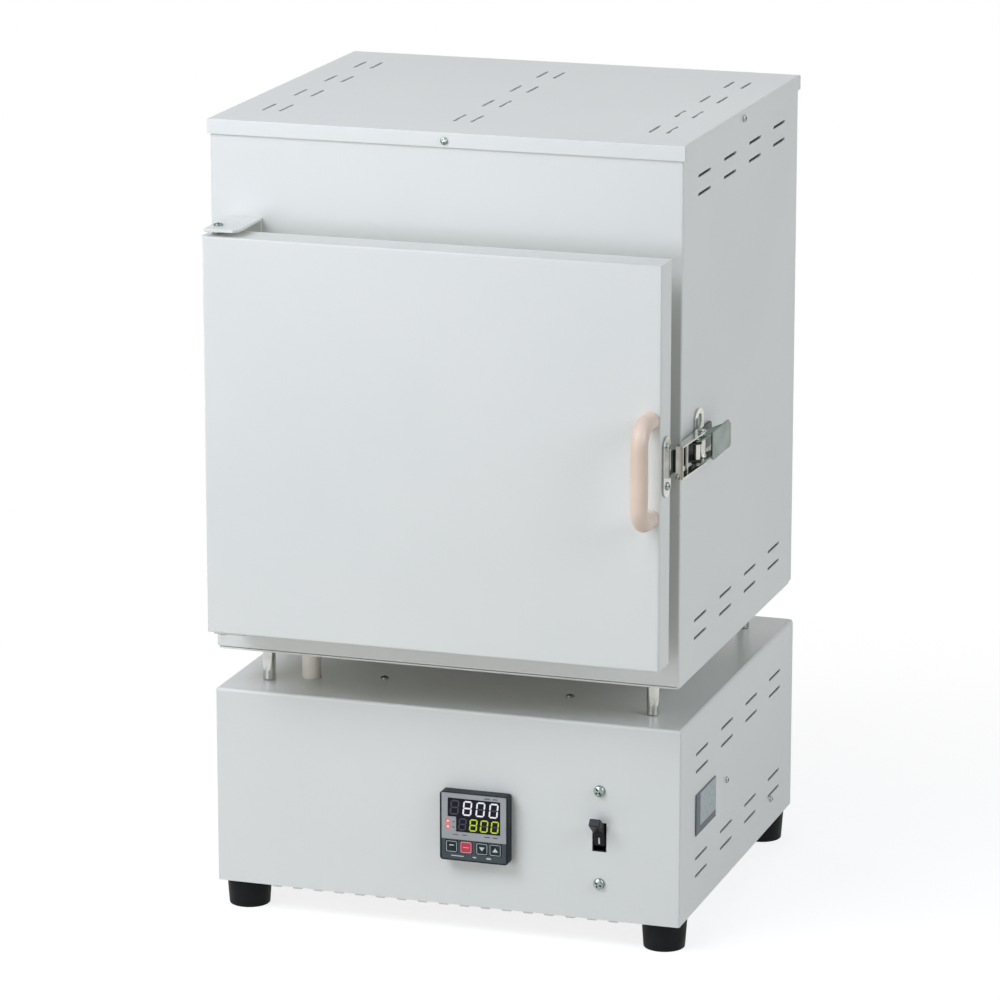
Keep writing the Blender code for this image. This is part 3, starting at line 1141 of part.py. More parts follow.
def make_latch_base(frame):
    """Folded channel: a plate with its lug on the body's side, and a flange above and below."""
    at = Vector((X_LATCH, 0, Z_LATCH))
    front, back = LATCH_BASE_FRONT, LATCH_BASE_BACK
    half = LATCH_BASE_HALF
    plate = box_mesh((0, front, -half), (LATCH_SHEET, back, half))
    base = add_piece("latch_base", plate, at, "chrome", frame)
    ear_back, radius = EAR_FRONT + EAR_WIDTH, EAR_CORNER
    ear = [(ear_back, 0), (EAR_FRONT, 0)]
    for centre_y, start in ((EAR_FRONT + radius, math.pi), (ear_back - radius, math.pi / 2)):
        for i in range(EAR_CORNER_STEPS + 1):
            angle = start - math.pi / 2 * i / EAR_CORNER_STEPS
            ear.append((centre_y + radius * math.cos(angle), EAR_HEIGHT - radius + radius * math.sin(angle)))
    join(base, prism_mesh(ear, "X", 0, LATCH_SHEET))
    outline = [(0, front), (LATCH_FLANGE_TOE, front), (LATCH_FLANGE_RISE, LATCH_FLANGE_PEAK_Y),
               (LATCH_FLANGE_HEEL, LATCH_FLANGE_END_Y), (LATCH_FLANGE_HEEL, back), (0, back)]
    pivot = (LEVER_AXIS.x - at.x, LEVER_AXIS.y)
    for way in (-1, 1):
        inner, outer = way * (half - LATCH_SHEET), way * half
        join(base, prism_mesh(outline, "Z", *sorted((inner, outer))))
        rivet = bmesh.new()
        shank = sorted((way * (LEVER_HALF - LEVER_SHEET), outer))
        add_cylinder(rivet, pivot, "Z", LEVER_RIVET_RADIUS, *shank, FINE_STEPS)
        join(base, rivet)
        head = bmesh.new()
        levels = sorted((outer - way * LATCH_SHEET / 2, outer + way * LEVER_RIVET_HEAD))
        add_cylinder(head, pivot, "Z", LEVER_RIVET_HEAD_RADIUS, *levels, FINE_STEPS)
        join(base, head)
    hole = bmesh.new()
    add_cylinder(hole, (EAR_FRONT + EAR_WIDTH / 2, EAR_HEIGHT - EAR_HOLE_DROP), "X", EAR_HOLE_RADIUS,
                 -OVERRUN, LATCH_SHEET + OVERRUN, FINE_STEPS)
    cut(base, hole)


def make_latch_lever(lever_swing):
    """Channel-shaped lever: an outer plate that flares at its end, and two cheeks to the pivot."""
    at = LEVER_AXIS
    outer = X_LEVER_PLATE - at.x
    inner = outer - LEVER_SHEET
    start, end = LEVER_PLATE_FRONT - at.y, LEVER_END - at.y
    flare = end - LEVER_FLARE_LENGTH
    outline = [(inner, start), (outer, start), (outer, flare), (outer + LEVER_FLARE, end),
               (inner + LEVER_FLARE, end), (inner, flare)]
    plate = prism_mesh(outline, "Z", -LEVER_HALF, LEVER_HALF)
    lever = add_piece("latch_lever", plate, at, "chrome", lever_swing)
    corners = bmesh.new()
    for way in (-1, 1):
        add_prism(corners, [(end - LEVER_CORNER, way * (LEVER_HALF + LEVER_CORNER)),
                            (end + LEVER_CORNER, way * (LEVER_HALF + LEVER_CORNER)),
                            (end + LEVER_CORNER, way * (LEVER_HALF - LEVER_CORNER))],
                  "X", inner - OVERRUN, outer + LEVER_FLARE + OVERRUN)
    cut(lever, corners)
    cheek = []
    for i in range(LEVER_EYE_STEPS + 1):
        angle = math.pi * (1 + i / LEVER_EYE_STEPS)
        cheek.append((LEVER_EYE_RADIUS * math.cos(angle), LEVER_EYE_RADIUS * math.sin(angle)))
    seam = outer - LEVER_SHEET / 2
    cheek += [(seam, start), (seam, LEVER_CHEEK_END), (-LEVER_CHEEK_INSET, LEVER_CHEEK_LENGTH),
              (-LEVER_CHEEK_INSET, LEVER_EYE_RADIUS)]
    for way in (-1, 1):
        levels = sorted((way * (LEVER_HALF - LEVER_SHEET), way * LEVER_HALF))
        join(lever, prism_mesh(cheek, "Z", *levels))
    pin_place = (LOOP_AXIS.x - at.x, LOOP_AXIS.y - at.y)
    holes = bmesh.new()
    reach = LEVER_HALF + OVERRUN
    add_cylinder(holes, (0, 0), "Z", LEVER_RIVET_RADIUS + PIN_CLEARANCE, -reach, reach, FINE_STEPS)
    add_cylinder(holes, pin_place, "Z", LOOP_PIN_RADIUS + PIN_CLEARANCE, -reach, reach, FINE_STEPS)
    cut(lever, holes)
    head = LEVER_HALF + TOUCH
    profile = [(0, -head - LOOP_PIN_HEAD), (LOOP_PIN_HEAD_RADIUS, -head - LOOP_PIN_HEAD),
               (LOOP_PIN_HEAD_RADIUS, -head), (LOOP_PIN_RADIUS, -head), (LOOP_PIN_RADIUS, head),
               (LOOP_PIN_HEAD_RADIUS, head), (LOOP_PIN_HEAD_RADIUS, head + LOOP_PIN_HEAD),
               (0, head + LOOP_PIN_HEAD)]
    turned = turned_mesh(profile, UPRIGHT, FINE_STEPS)
    pin = add_piece("latch_loop_pin", turned, LOOP_AXIS, "chrome", lever_swing)
    smooth(pin)


def make_latch_loop(loop_swing):
    """Loop: a sleeve on the pin, two arms, and a window frame whose front bar draws the keeper."""
    sleeve = bmesh.new()
    add_cylinder(sleeve, (0, 0), "Z", LOOP_SLEEVE_RADIUS, -LOOP_INNER, LOOP_INNER, FINE_STEPS)
    loop = add_piece("latch_loop", sleeve, LOOP_AXIS, "chrome", loop_swing)
    half_arm = LOOP_ARM / 2
    front = -LOOP_REACH
    window_front = front + LOOP_SHEET
    window_back = window_front + LOOP_WINDOW
    arms_front = window_back + LOOP_SHEET
    join(loop, box_mesh((-half_arm, window_back, -LOOP_HALF), (half_arm, arms_front, LOOP_HALF)))
    join(loop, box_mesh((-LOOP_HOOK_IN, front, -LOOP_HALF), (LOOP_HOOK_OUT, window_front, LOOP_HALF)))
    for way in (-1, 1):
        levels = sorted((way * (LOOP_INNER - LOOP_SHEET), way * LOOP_INNER))
        join(loop, box_mesh((-half_arm, arms_front - LOOP_SHEET / 2, levels[0]), (half_arm, 0, levels[1])))
        levels = sorted((way * (LOOP_HALF - LOOP_SHEET), way * LOOP_HALF))
        join(loop, box_mesh((-half_arm, front + LOOP_SHEET / 2, levels[0]),
                            (LOOP_HOOK_OUT, window_back + LOOP_SHEET / 2, levels[1])))
    bore = bmesh.new()
    add_cylinder(bore, (0, 0), "Z", LOOP_PIN_RADIUS + PIN_CLEARANCE, -LOOP_INNER - OVERRUN,
                 LOOP_INNER + OVERRUN, FINE_STEPS)
    cut(loop, bore)
    smooth(loop)


def main():
    clear_scene()
    frame = empty("furnace", (0, 0, 0))
    door = empty("door_hinge", HINGE_AXIS, frame)
    lever_swing = empty("latch_lever_pivot", LEVER_AXIS, frame)
    loop_swing = empty("latch_loop_pivot", LOOP_AXIS, lever_swing)
    switch_swing = empty("switch_pivot", SWITCH_AXIS, frame)
    make_base_cover(frame)
    make_base_tray(frame)
    make_base_back(frame)
    make_feet(frame)
    make_posts(frame)
    make_conduit(frame)
    make_rating_plate(frame)
    make_gland(frame)
    make_relay(frame)
    make_terminal_block(frame)
    make_controller(frame)
    make_controller_clamp(frame)
    make_switch(frame, switch_swing)
    make_casing(frame)
    make_casing_floor(frame)
    make_casing_back(frame)
    make_lid(frame)
    make_core(frame)
    make_rails(frame)
    make_heaters(frame)
    make_hearth(frame)
    make_heater_terminals(frame)
    make_hinges(frame)
    make_door(door)
    make_handle(door)
    make_keeper(door)
    make_latch_base(frame)
    make_latch_lever(lever_swing)
    make_latch_loop(loop_swing)


main()
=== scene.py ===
"""Bench furnace: finishes, fittings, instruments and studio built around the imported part.

The file is laid out as an add-on and run as a script. All places are in metres, in the part's own
frame: +Z up, the door and the controls towards -Y, the latch side towards +X.
"""

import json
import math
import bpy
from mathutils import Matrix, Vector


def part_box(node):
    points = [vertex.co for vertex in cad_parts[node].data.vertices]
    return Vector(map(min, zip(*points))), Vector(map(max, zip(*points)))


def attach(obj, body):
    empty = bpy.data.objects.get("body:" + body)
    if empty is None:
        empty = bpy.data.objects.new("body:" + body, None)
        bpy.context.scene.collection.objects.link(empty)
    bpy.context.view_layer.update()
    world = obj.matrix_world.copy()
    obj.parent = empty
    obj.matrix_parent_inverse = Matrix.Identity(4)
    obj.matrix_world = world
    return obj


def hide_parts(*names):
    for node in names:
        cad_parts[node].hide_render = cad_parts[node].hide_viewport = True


bl_info = {
    "name": "Bench Furnace",
    "version": (1, 0, 0),
    "blender": (4, 5, 0),
    "location": "3D View > Sidebar > Furnace",
    "description": "Dresses the packed furnace with its finishes, small fittings, display and studio",
    "category": "Object",
}

import bmesh
import bpy
from mathutils import Matrix, Vector

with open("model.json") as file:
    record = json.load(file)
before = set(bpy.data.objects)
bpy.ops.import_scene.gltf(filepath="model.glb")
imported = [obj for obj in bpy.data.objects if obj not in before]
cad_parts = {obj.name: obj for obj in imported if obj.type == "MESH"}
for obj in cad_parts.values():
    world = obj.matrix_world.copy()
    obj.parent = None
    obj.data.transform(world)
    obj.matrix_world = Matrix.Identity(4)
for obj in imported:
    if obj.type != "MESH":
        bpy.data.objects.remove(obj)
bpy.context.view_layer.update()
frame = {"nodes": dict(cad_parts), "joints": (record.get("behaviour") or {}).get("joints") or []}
NODES = frame["nodes"]

MM = 0.001
TINY = 1e-7
ROUND = 48                   # facets of an ordinary round piece
FINE = 24                    # facets of a small round piece
SHARP = math.radians(38)     # edges sharper than this stay sharp
FLAT = math.radians(1)       # faces closer than this are one flat
UPRIGHT = Matrix.Identity(4)                                                  # outlines of X and Y
SIDEWAYS = Matrix(((0, 0, 1, 0), (1, 0, 0, 0), (0, 1, 0, 0), (0, 0, 0, 1)))   # outlines of Y and Z

# Ways in which a metal's streaks run, as the stretch of their pattern
DRAWN_UP = (1.0, 1.0, 0.06)
DRAWN_BACK = (1.0, 0.06, 1.0)
UNDRAWN = (1.0, 1.0, 1.0)

# CAD nodes that are alike
SLOTTED = ("base_cover", "casing_wrap", "casing_back", "lid")
PAINTED = ("base_tray", "base_back_panel", "casing_floor", "hinge_bracket_upper", "hinge_bracket_lower",
           "door_pan", "door_back_plate")
PLATED = ("core_rail_left", "core_rail_right", "switch_bracket")
BOARDS = ("insulation_floor", "insulation_roof", "insulation_left", "insulation_right", "insulation_back",
          "door_board", "door_plug")
FEET = ("foot_front_left", "foot_front_right", "foot_rear_left", "foot_rear_right")
POSTS = ("post_front_left", "post_front_right", "post_rear_left", "post_rear_right")
KEYS = ("menu_key", "run_key", "down_key", "up_key")

# Body's lower lip, with the seam above it, whose black band is painted shade
SEAM_SHADE_INSET = 2.6 * MM
LIP_INSET = 0.6 * MM
LIP_START = 0.65 * MM
LIP_END = 1.9 * MM
LIP_WIDTH = 4.5 * MM
LIP_ROUND = 3.5 * MM
LIP_STEPS = 6

# Heating plates and their coils
CERAMIC_EDGE = 0.5 * MM
COIL_INSET = 14.0 * MM
COIL_MARGIN = 12.0 * MM
COIL_ROWS = 5
COIL_PITCH = 2.2 * MM
COIL_STEPS = 10
WIRE_SIDES = 6

# Feet: a well for the screw, and a groove round the sole
FOOT_WELL = 6.0 * MM
FOOT_WELL_DEPTH = 11.0 * MM
FOOT_TAPER = 1.5 * MM
FOOT_GROOVE = (2.2 * MM, 1.4 * MM)
FOOT_GROOVE_DEPTH = 0.5 * MM
FOOT_PLAY = 0.02 * MM
FOOT_SOFTNESS = 1.2 * MM
WASHER_BORE = 2.2 * MM
WASHER_RADIUS = 5.6 * MM
WASHER_SHEET = 1.0 * MM
WASHER_EDGE = 0.15 * MM
FOOT_SCREW = (3.8 * MM, 2.4 * MM)

# Posts and conduit
POST_SOFTNESS = 0.6 * MM
CONDUIT_WALL = 2.0 * MM
CONDUIT_EDGE = 0.4 * MM

# Door handle: its bends, and the share of its full radius along it
HANDLE_BEND = 13.0 * MM
HANDLE_STEPS = 16
HANDLE_SEAT = (-1.2 * MM, -2.4 * MM)
HANDLE_ENDS = (1.0, 0.98, 0.93)
HANDLE_SLIM = 0.92
HANDLE_SWELL = 0.02
HANDLE_EDGE = 0.5 * MM
HANDLE_SHARP = math.radians(60)

# Hinges
HINGE_PLATE = 1.9 * MM
HINGE_PLAY = 0.3 * MM
HINGE_SHANK = 2.5 * MM
HINGE_COLLAR = 4.5 * MM
HINGE_RISE = 0.35 * MM
HINGE_HEAD = 3.2 * MM
BRACKET_LEG = 9 * MM
BRACKET_STEP = 6 * MM
BRACKET_SHEET = 2.2 * MM
BRACKET_SCREW = (2.9 * MM, 1.6 * MM)

# Draw latch: sheet, pins, the play between pieces, and the lever's cut corners as length and height
LATCH_SHEET = 1.2 * MM
LATCH_BORE = 1.7 * MM
LATCH_PIN = 1.5 * MM
LATCH_PLAY = 0.1 * MM
LATCH_EDGE = 0.15 * MM
LATCH_SEAM = 0.05 * MM
HOLE_REACH = 20.0 * MM
SEAT_HALF = 8.2 * MM
SEAT_MORE = 16.0 * MM
SEAT_ROUND = 3.0 * MM
SEAT_EAR = 6.4 * MM
EAR_FRONT = 8 * MM
EAR_BACK = 14 * MM
EAR_ROUND = 3.4 * MM
PIN_HEAD = 2.5 * MM
PIN_HEAD_END = 0.7 * MM
PIN_STOP = 2.4 * MM
LUG_BACK = 48.2 * MM
LUG_WIDTH = 20.0 * MM
LUG_ROUND = 8.0 * MM
LUG_EYE = (9.5 * MM, 9.0 * MM, 4.0 * MM)
LUG_EYE_DROP = 8 * MM
EYE_SPARE = 1 * MM
LEVER_INSET = 2.3 * MM
LEVER_SHORT = 1.2 * MM
LEVER_FRONT = 18.5 * MM
LEVER_UPPER = 8.8 * MM
LEVER_LOWER = 10.6 * MM
LEVER_NOSE = (4 * MM, 1.8 * MM)
LEVER_HEEL = (2.5 * MM, 2.0 * MM)
LEVER_BEAK = (6.0 * MM, 3.6 * MM)
LEVER_CHEEK = 8.2 * MM
CHEEK_ROUND = 3.6 * MM
CHEEK_REACH = 48 * MM
CHEEK_SETBACK = 4.6 * MM
CHEEK_BACK = (20.5 * MM, 4 * MM)
BARREL_HEAD = 2.6 * MM
BARREL_COLLAR = 3.5 * MM
BARREL_COLLAR_END = 1.3 * MM
BARREL_MIDDLE = 3.0 * MM
BARREL_MIDDLE_START = 1.6 * MM
LOOP_HALF = 11.0 * MM
LOOP_OUT = 0.3 * MM
LOOP_WALL = 4.8 * MM
LOOP_ARM = 1.0 * MM
LOOP_BAR = 14.4 * MM
LOOP_BAR_WIDTH = 1.8 * MM
LOOP_BAR_SHORT = 0.5 * MM
TONGUE_HALF = 7.6 * MM
KEEPER_HALF = 8.0 * MM
KEEPER_EASE = 0.3 * MM
KEEPER_PITCH = 26.0 * MM
KEEPER_SCREW = (2.7 * MM, 1.5 * MM)

# Controller: places from the middle of its face, widths, heights and thicknesses
CASE_EDGE = 0.35 * MM
FILM_EDGE = 0.1 * MM
BAND_DROP = 9.0 * MM
BAND_BLUR = 0.05 * MM
DIGIT_SLANT = 0.1
DIGITS_SHOWN = ("", "abcdefg", "abcdef", "abcdef")
DIGIT_ROWS = {
    "upper": ((-13.5 * MM, -4.5 * MM, 4.75 * MM, 14.0 * MM), 13.4 * MM, (6.3 * MM, 10.4 * MM, 1.05 * MM)),
    "lower": ((-8.0 * MM, -0.3 * MM, 7.3 * MM, 14.8 * MM), 1.9 * MM, (5.5 * MM, 8.6 * MM, 0.9 * MM)),
}
LAMP_X = -18.3 * MM
LAMP_LEVELS = (3.4 * MM, -0.5 * MM)
LAMP_RADIUS = 0.9 * MM
LAMP_CROWN = 0.8
LAMP_RISE = (0.25 * MM, 0.4 * MM)
LAMP_SOFTNESS = 0.2 * MM
LAMP_HALO = 1.85 * MM
DASH_ROUND = 0.4
FILM_DASHES = ((9.5 * MM, 21.3 * MM, 4.2 * MM, 0.8 * MM), (15.0 * MM, 21.3 * MM, 3.6 * MM, 0.8 * MM),
               (9.5 * MM, -5.6 * MM, 4.2 * MM, 0.8 * MM), (15.0 * MM, -5.6 * MM, 3.6 * MM, 0.8 * MM),
               (-14.4 * MM, 3.1 * MM, 1.8 * MM, 0.7 * MM), (-14.4 * MM, -0.6 * MM, 1.8 * MM, 0.7 * MM),
               (-13.0 * MM, -5.6 * MM, 4.0 * MM, 0.6 * MM), (-6.5 * MM, -5.6 * MM, 3.4 * MM, 0.6 * MM))
BAND_DASHES = ((-11.5 * MM, -20.6 * MM, 9.0 * MM, 0.6 * MM), (0.5 * MM, -20.6 * MM, 2.6 * MM, 0.8 * MM),
               (10.5 * MM, -20.6 * MM, 3.4 * MM, 1.0 * MM))

# Keys: how much smaller each outline of the printed frame is than the cap, with its corner
KEY_ROUND = 0.9 * MM
KEY_EDGE = 0.18 * MM
KEY_FRAME = ((0.5 * MM, 0.8 * MM), (1.1 * MM, 0.6 * MM))
ARROW_HALF = 2.0 * MM
ARROW_FOOT = 1.3 * MM
ARROW_TIP = 1.5 * MM
MENU_DASH = (3.2 * MM, 0.7 * MM, 0.2 * MM, 2, (0.0, 0.9 * MM))
RUN_DASH = (4.2 * MM, 0.4 * MM, 0.15 * MM, 2)

# Power switch: its lever's outline about the pivot, with the flank that carries the mark
SWITCH_TILT = math.radians(36)
SWITCH_REACH = 23.5 * MM
SWITCH_TIP = 2.7 * MM
SWITCH_HUB = 8.6 * MM
SWITCH_NECK = (8.6 * MM, 3.1 * MM)
SWITCH_SHOULDER = (2.4 * MM, 8.9 * MM)
SWITCH_EDGE = 0.7 * MM
SWITCH_BODY_EDGE = 0.2 * MM
MARK_SHARE = 0.42
MARK_SIZE = (1.1 * MM, 4.8 * MM, 0.3 * MM, 2)
SWITCH_SCREW_SHANK = (1.9 * MM, 7 * MM)
SWITCH_SCREW_SEAT = 0.3 * MM
SWITCH_SCREW_TURNS = {"switch_screw_upper": 38, "switch_screw_lower": 62}

# Rating plate: widths of its border
PLATE_FRONT = 9.5 * MM
PLATE_FOOT = 5 * MM
PLATE_BORDER = 0.6 * MM

# Cord gland: the dome's shoulder stands off the panel, its other radii are placed from its end
GLAND_BORE = 4.5 * MM
GLAND_THREAD = 10 * MM
GLAND_NUT = 13.5 * MM
GLAND_NUT_START = 0.3 * MM
GLAND_NUT_END = 5.8 * MM
GLAND_DOME = ((9.8 * MM, 7 * MM), (9.2 * MM, 3 * MM), (8.0 * MM, 0.6 * MM), (7.4 * MM, 0.0))
GLAND_RIBS = 16
RIB_ROOT = (9.0 * MM, 0.5 * MM)
RIB_CREST = (10.1 * MM, 0.3 * MM)
RIB_START = 6.2 * MM
RIB_SHORT = 4 * MM
GLAND_EDGE = 0.25 * MM
NUT_EDGE = 0.6 * MM
NUT_HOLE = (10.02 * MM, 8 * MM)

# Edges of the parts inside the base
RELAY_EDGE = 0.4 * MM
BLOCK_EDGE = 0.3 * MM

# Screws: shares of the head, places, and head radius with height where they aren't the casing's
SCREW_RIM = 0.35
SCREW_CROWN = 0.65
SCREW_FULLNESS = 0.6
SCREW_RECESS = (0.66, 0.17)
TERMINALS = 6
TERMINAL_SCREW = (2.8 * MM, 1.6 * MM)
TERMINAL_DROP = 7 * MM
HEATER_TERMINALS = 4
HEATER_SCREW = (3.4 * MM, 2.0 * MM)
HEATER_SCREW_IN = 8 * MM
LID_SCREW_X = -5.5 * MM
LID_SCREW_Y = 25.0 * MM
LID_SCREW_Z = 543.1 * MM
BASE_TOP_SCREWS = {"left": (-68.8 * MM, -58.7 * MM), "right": (64.6 * MM, -61.3 * MM)}
BASE_TOP_RADIUS = 2.9 * MM
BASE_SIDE_SCREWS = {"middle": (0.0, 89.6 * MM), "rear": (116.8 * MM, 40.4 * MM)}
BASE_SIDE_SCREW = (2.3 * MM, 1.5 * MM)
BACK_SCREWS = (("casing_back", "back_screw", "furnace", 12 * MM, 14 * MM),
               ("base_back_panel", "base_back_screw", "furnace", 12 * MM, 12 * MM),
               ("door_back_plate", "door_back_screw", "door", 14 * MM, 14 * MM))

# Studio: lamps with their size and place, and the black cards that only gloss shows
LAMPS = (("key", 1.8, (-1.2, -2.2, 3.0)), ("side", 1.8, (3.0, -0.9, 2.0)), ("near", 0.6, (-0.9, -1.0, 1.2)),
         ("low", 1.2, (-1.2, -2.8, 0.45)), ("back", 1.8, (-3.0, 2.4, 1.0)))
LAMP_AIM = Vector((0, 0, 0.3))
FLAGS = (("camera_flag", (1.3, -4.2, 0.8), (1.6, 3.2)), ("right_flag", (3.6, 0.9, 0.6), (1.5, 2.6)),
         ("left_flag", (-3.0, 1.6, 0.6), (4.4, 2.6)))
FLAG_ROUND = 0.05
FLAG_SHEET = 0.01
FLAG_TONE = (0.01, 0.01, 0.01)
SENSOR = 36.0
SKY_TONE = (0.976, 0.989, 1.0)
FLOOR_RADIUS = 12.0
FLOOR_SIDES = 64
FLOOR_DROP = 0.0001
FLOOR_TONE = (0.34, 0.34, 0.34)
FLOOR_BOUNCE = (0.62, 0.6, 0.54)
FLOOR_FADE = (0.25, 0.75)


def srgb(red, green, blue):
    """Linear colour of a tone given as it is seen, 0 to 255."""
    tones = []
    for level in (red, green, blue):
        share = level / 255
        tones.append(share / 12.92 if share <= 0.04045 else ((share + 0.055) / 1.055) ** 2.4)
    return tuple(tones)


def tone_property(label, text, levels):
    return bpy.props.FloatVectorProperty(name=label, description=text, subtype="COLOR", size=3,
                                         min=0.0, max=1.0, default=levels)


def colour_property(label, text, tone):
    return tone_property(label, text, srgb(*tone))


def length_property(label, text, value):
    return bpy.props.FloatProperty(name=label, description=text, subtype="DISTANCE", unit="LENGTH",
                                   precision=5, min=0.0, default=value)


def power_property(label, text, value):
    return bpy.props.FloatProperty(name=label, description=text, subtype="POWER", unit="POWER",
                                   min=0.0, default=value)


class FurnaceColours(bpy.types.PropertyGroup):
    """Tones of the furnace's finishes."""

    paint: colour_property("Paint", "Baked enamel on casing, lid, door and base", (230, 230, 223))
    paint_cloud: colour_property("Paint cloud", "Darker tone in the enamel's clouding", (225, 226, 220))
    zinc: colour_property("Zinc", "Zinc-plated sheet of the rails and the switch bracket", (188, 191, 190))
    plate: colour_property("Bright plate", "Bright plating on posts, latch and pins", (212, 213, 208))
    plate_dull: colour_property("Dull plate", "Handled, duller tone in the plating", (176, 177, 170))
    # The rubber tone also fills the seam under the body, as painted shade.
    rubber: colour_property("Rubber", "Feet, and the black band in the seam under the body", (10, 11, 12))
    board: colour_property("Fibre board", "Insulation boards and door plug", (240, 237, 229))
    board_fibre: colour_property("Board fibre", "Darker fibres in the boards", (221, 214, 200))
    refractory: colour_property("Refractory", "Heating plates, hearth and terminal strip", (233, 226, 212))
    refractory_speck: colour_property("Refractory speck", "Specks in the fired ceramic", (196, 180, 158))
    handle: colour_property("Handle", "Moulded door handle", (236, 213, 193))
    moulding: colour_property("Moulding", "Controller case", (11, 17, 20))
    black: colour_property("Black moulding", "Power switch, gland and relay", (12, 13, 15))
    face: colour_property("Face", "Controller's face film", (163, 165, 164))
    band: colour_property("Band", "Darker band behind the keys", (46, 59, 63))
    window: colour_property("Window", "Display window", (16, 18, 30))
    segment_off: colour_property("Unlit segment", "Segments that aren't lit", (50, 50, 54))
    digits_upper: colour_property("Upper digits", "Measured temperature", (246, 244, 255))
    digits_lower: colour_property("Lower digits", "Set temperature", (197, 218, 40))
    lamp: colour_property("Lamp", "Output lamps beside the display", (255, 214, 216))
    lamp_halo: colour_property("Lamp halo", "Glow in the film round the lamps", (236, 118, 124))
    red: colour_property("Red key", "Run and stop key", (204, 48, 76))
    mark: colour_property("Marks", "Printed outlines and symbols", (205, 213, 206))
    ink: colour_property("Ink", "Dark print on pale grounds", (70, 76, 80))
    tube: colour_property("Tube", "Conduit between base and body", (250, 243, 227))
    cream: colour_property("Cream moulding", "Terminal block", (224, 220, 206))
    label: colour_property("Label", "Blank field of the rating plate", (164, 174, 175))
    label_edge: colour_property("Label edge", "Dark border of the rating plate", (66, 70, 82))
    latch: colour_property("Latch plate", "Greenish passivated sheet of the latch", (99, 117, 108))
    # Painted shade: a dark tone for the sheet inside the latch, where shade falls.
    latch_shade: colour_property("Latch painted shade", "Dark sheet inside the latch, as painted shade", (58, 62, 58))
    screw: colour_property("Screw steel", "Small screws of casing and switch", (172, 181, 175))
    wire: colour_property("Heating wire", "Coils in the heating plates", (112, 100, 92))


class FurnaceSizes(bpy.types.PropertyGroup):
    """Sizes of the small features that the solids leave out."""

    paint_edge: length_property("Paint edge", "Softening of painted sheet edges", 0.3 * MM)
    slot_edge: length_property("Slot edge", "Softening of the sheets that carry vent slots", 0.15 * MM)
    board_edge: length_property("Board edge", "Softening of fibre board edges", 1.2 * MM)
    plate_edge: length_property("Plate edge", "Softening of plated sheet edges", 0.22 * MM)
    screw_radius: length_property("Screw radius", "Head radius of the casing screws", 2.6 * MM)
    screw_height: length_property("Screw height", "Head height of the casing screws", 1.7 * MM)
    coil_radius: length_property("Coil radius", "Radius of the heating coils", 1.25 * MM)
    coil_wire: length_property("Coil wire", "Radius of the heating wire", 0.35 * MM)
    print_depth: length_property("Print depth", "Thickness of printed marks", 0.04 * MM)


class FurnaceStudio(bpy.types.PropertyGroup):
    """Camera, lamps and floor."""

    camera_place: bpy.props.FloatVectorProperty(
        name="Camera place", description="Where the camera stands", subtype="TRANSLATION", unit="LENGTH",
        size=3, precision=5, default=(1.046185, -3.21495, 1.13922))
    camera_turn: bpy.props.FloatVectorProperty(
        name="Camera turn", description="Pitch, roll and yaw of the camera", subtype="EULER", unit="ROTATION",
        size=3, default=(math.radians(75.65), 0.0, math.radians(18.11)))
    lens: bpy.props.FloatProperty(
        name="Lens", description="Focal length in millimetres on a 36 mm sensor", subtype="NONE",
        min=1.0, default=183.75)
    key_power: power_property("Key power", "Large lamp high at the front left", 44.4)
    side_power: power_property("Side power", "Large lamp at the right", 45.9)
    near_power: power_property("Near power", "Small lamp close to the door's upper left", 7.0)
    low_power: power_property("Low power", "Lamp low at the front left, for the gap", 23.4)
    back_power: power_property("Back power", "Lamp behind the left side, for the back", 28.0)
    lamp_tone: tone_property("Lamp tone", "Colour of the lamps in front and behind", (0.838, 0.884, 1.0))
    side_tone: tone_property("Side tone", "Colour of the lamp at the right", (0.779, 0.869, 1.0))
    ambience: bpy.props.FloatProperty(
        name="Ambience", description="Strength of the even light from all round", min=0.0, default=0.188)
    floor_glow: bpy.props.FloatProperty(
        name="Floor glow", description="How much of the floor's white is seen even in shadow",
        subtype="FACTOR", min=0.0, max=1.0, default=0.8)


# Node building


def feed(tree, socket, value):
    """Link a socket to another, or set it to a plain value; a colour is given without its alpha."""
    if isinstance(value, bpy.types.NodeSocket):
        tree.links.new(value, socket)
    else:
        socket.default_value = (*value, 1.0) if socket.type == "RGBA" else value


def wire(tree, node, **values):
    """Feed a node's sockets by name, with _ for a space."""
    for key, value in values.items():
        feed(tree, node.inputs[key.replace("_", " ")], value)


def add_node(tree, kind, **values):
    """A shader node; values go to its settings, or to its sockets by name, with _ for a space."""
    made = tree.nodes.new(kind)
    for key, value in values.items():
        if hasattr(made, key):
            setattr(made, key, value)
        else:
            wire(tree, made, **{key: value})
    return made


def reckon(tree, operation, *values, kind="ShaderNodeMath", **settings):
    """Result of an operation on values or, with the vector kind, on vectors."""
    made = add_node(tree, kind, operation=operation, **settings)
    for socket, value in zip(made.inputs, values):
        feed(tree, socket, value)
    return made.outputs[0]


def multiply(tree, source, factor):
    return reckon(tree, "MULTIPLY", source, factor)


def own_place(tree):
    """Coordinates that stay with the object."""
    return tree.nodes.new("ShaderNodeTexCoord").outputs["Object"]


def noise(tree, vector, scale, detail, roughness=0.5):
    return add_node(tree, "ShaderNodeTexNoise", Detail=detail, Roughness=roughness, Vector=vector,
                    Scale=scale).outputs["Fac"]


def remap(tree, source, least, most, start=0.0, end=1.0, smooth=False):
    """Carry a value's range from least..most onto start..end, eased at both ends where smooth."""
    made = add_node(tree, "ShaderNodeMapRange", From_Min=least, From_Max=most, To_Min=start, To_Max=end,
                    Value=source)
    if smooth:
        made.interpolation_type = "SMOOTHERSTEP"
    return made.outputs["Result"]


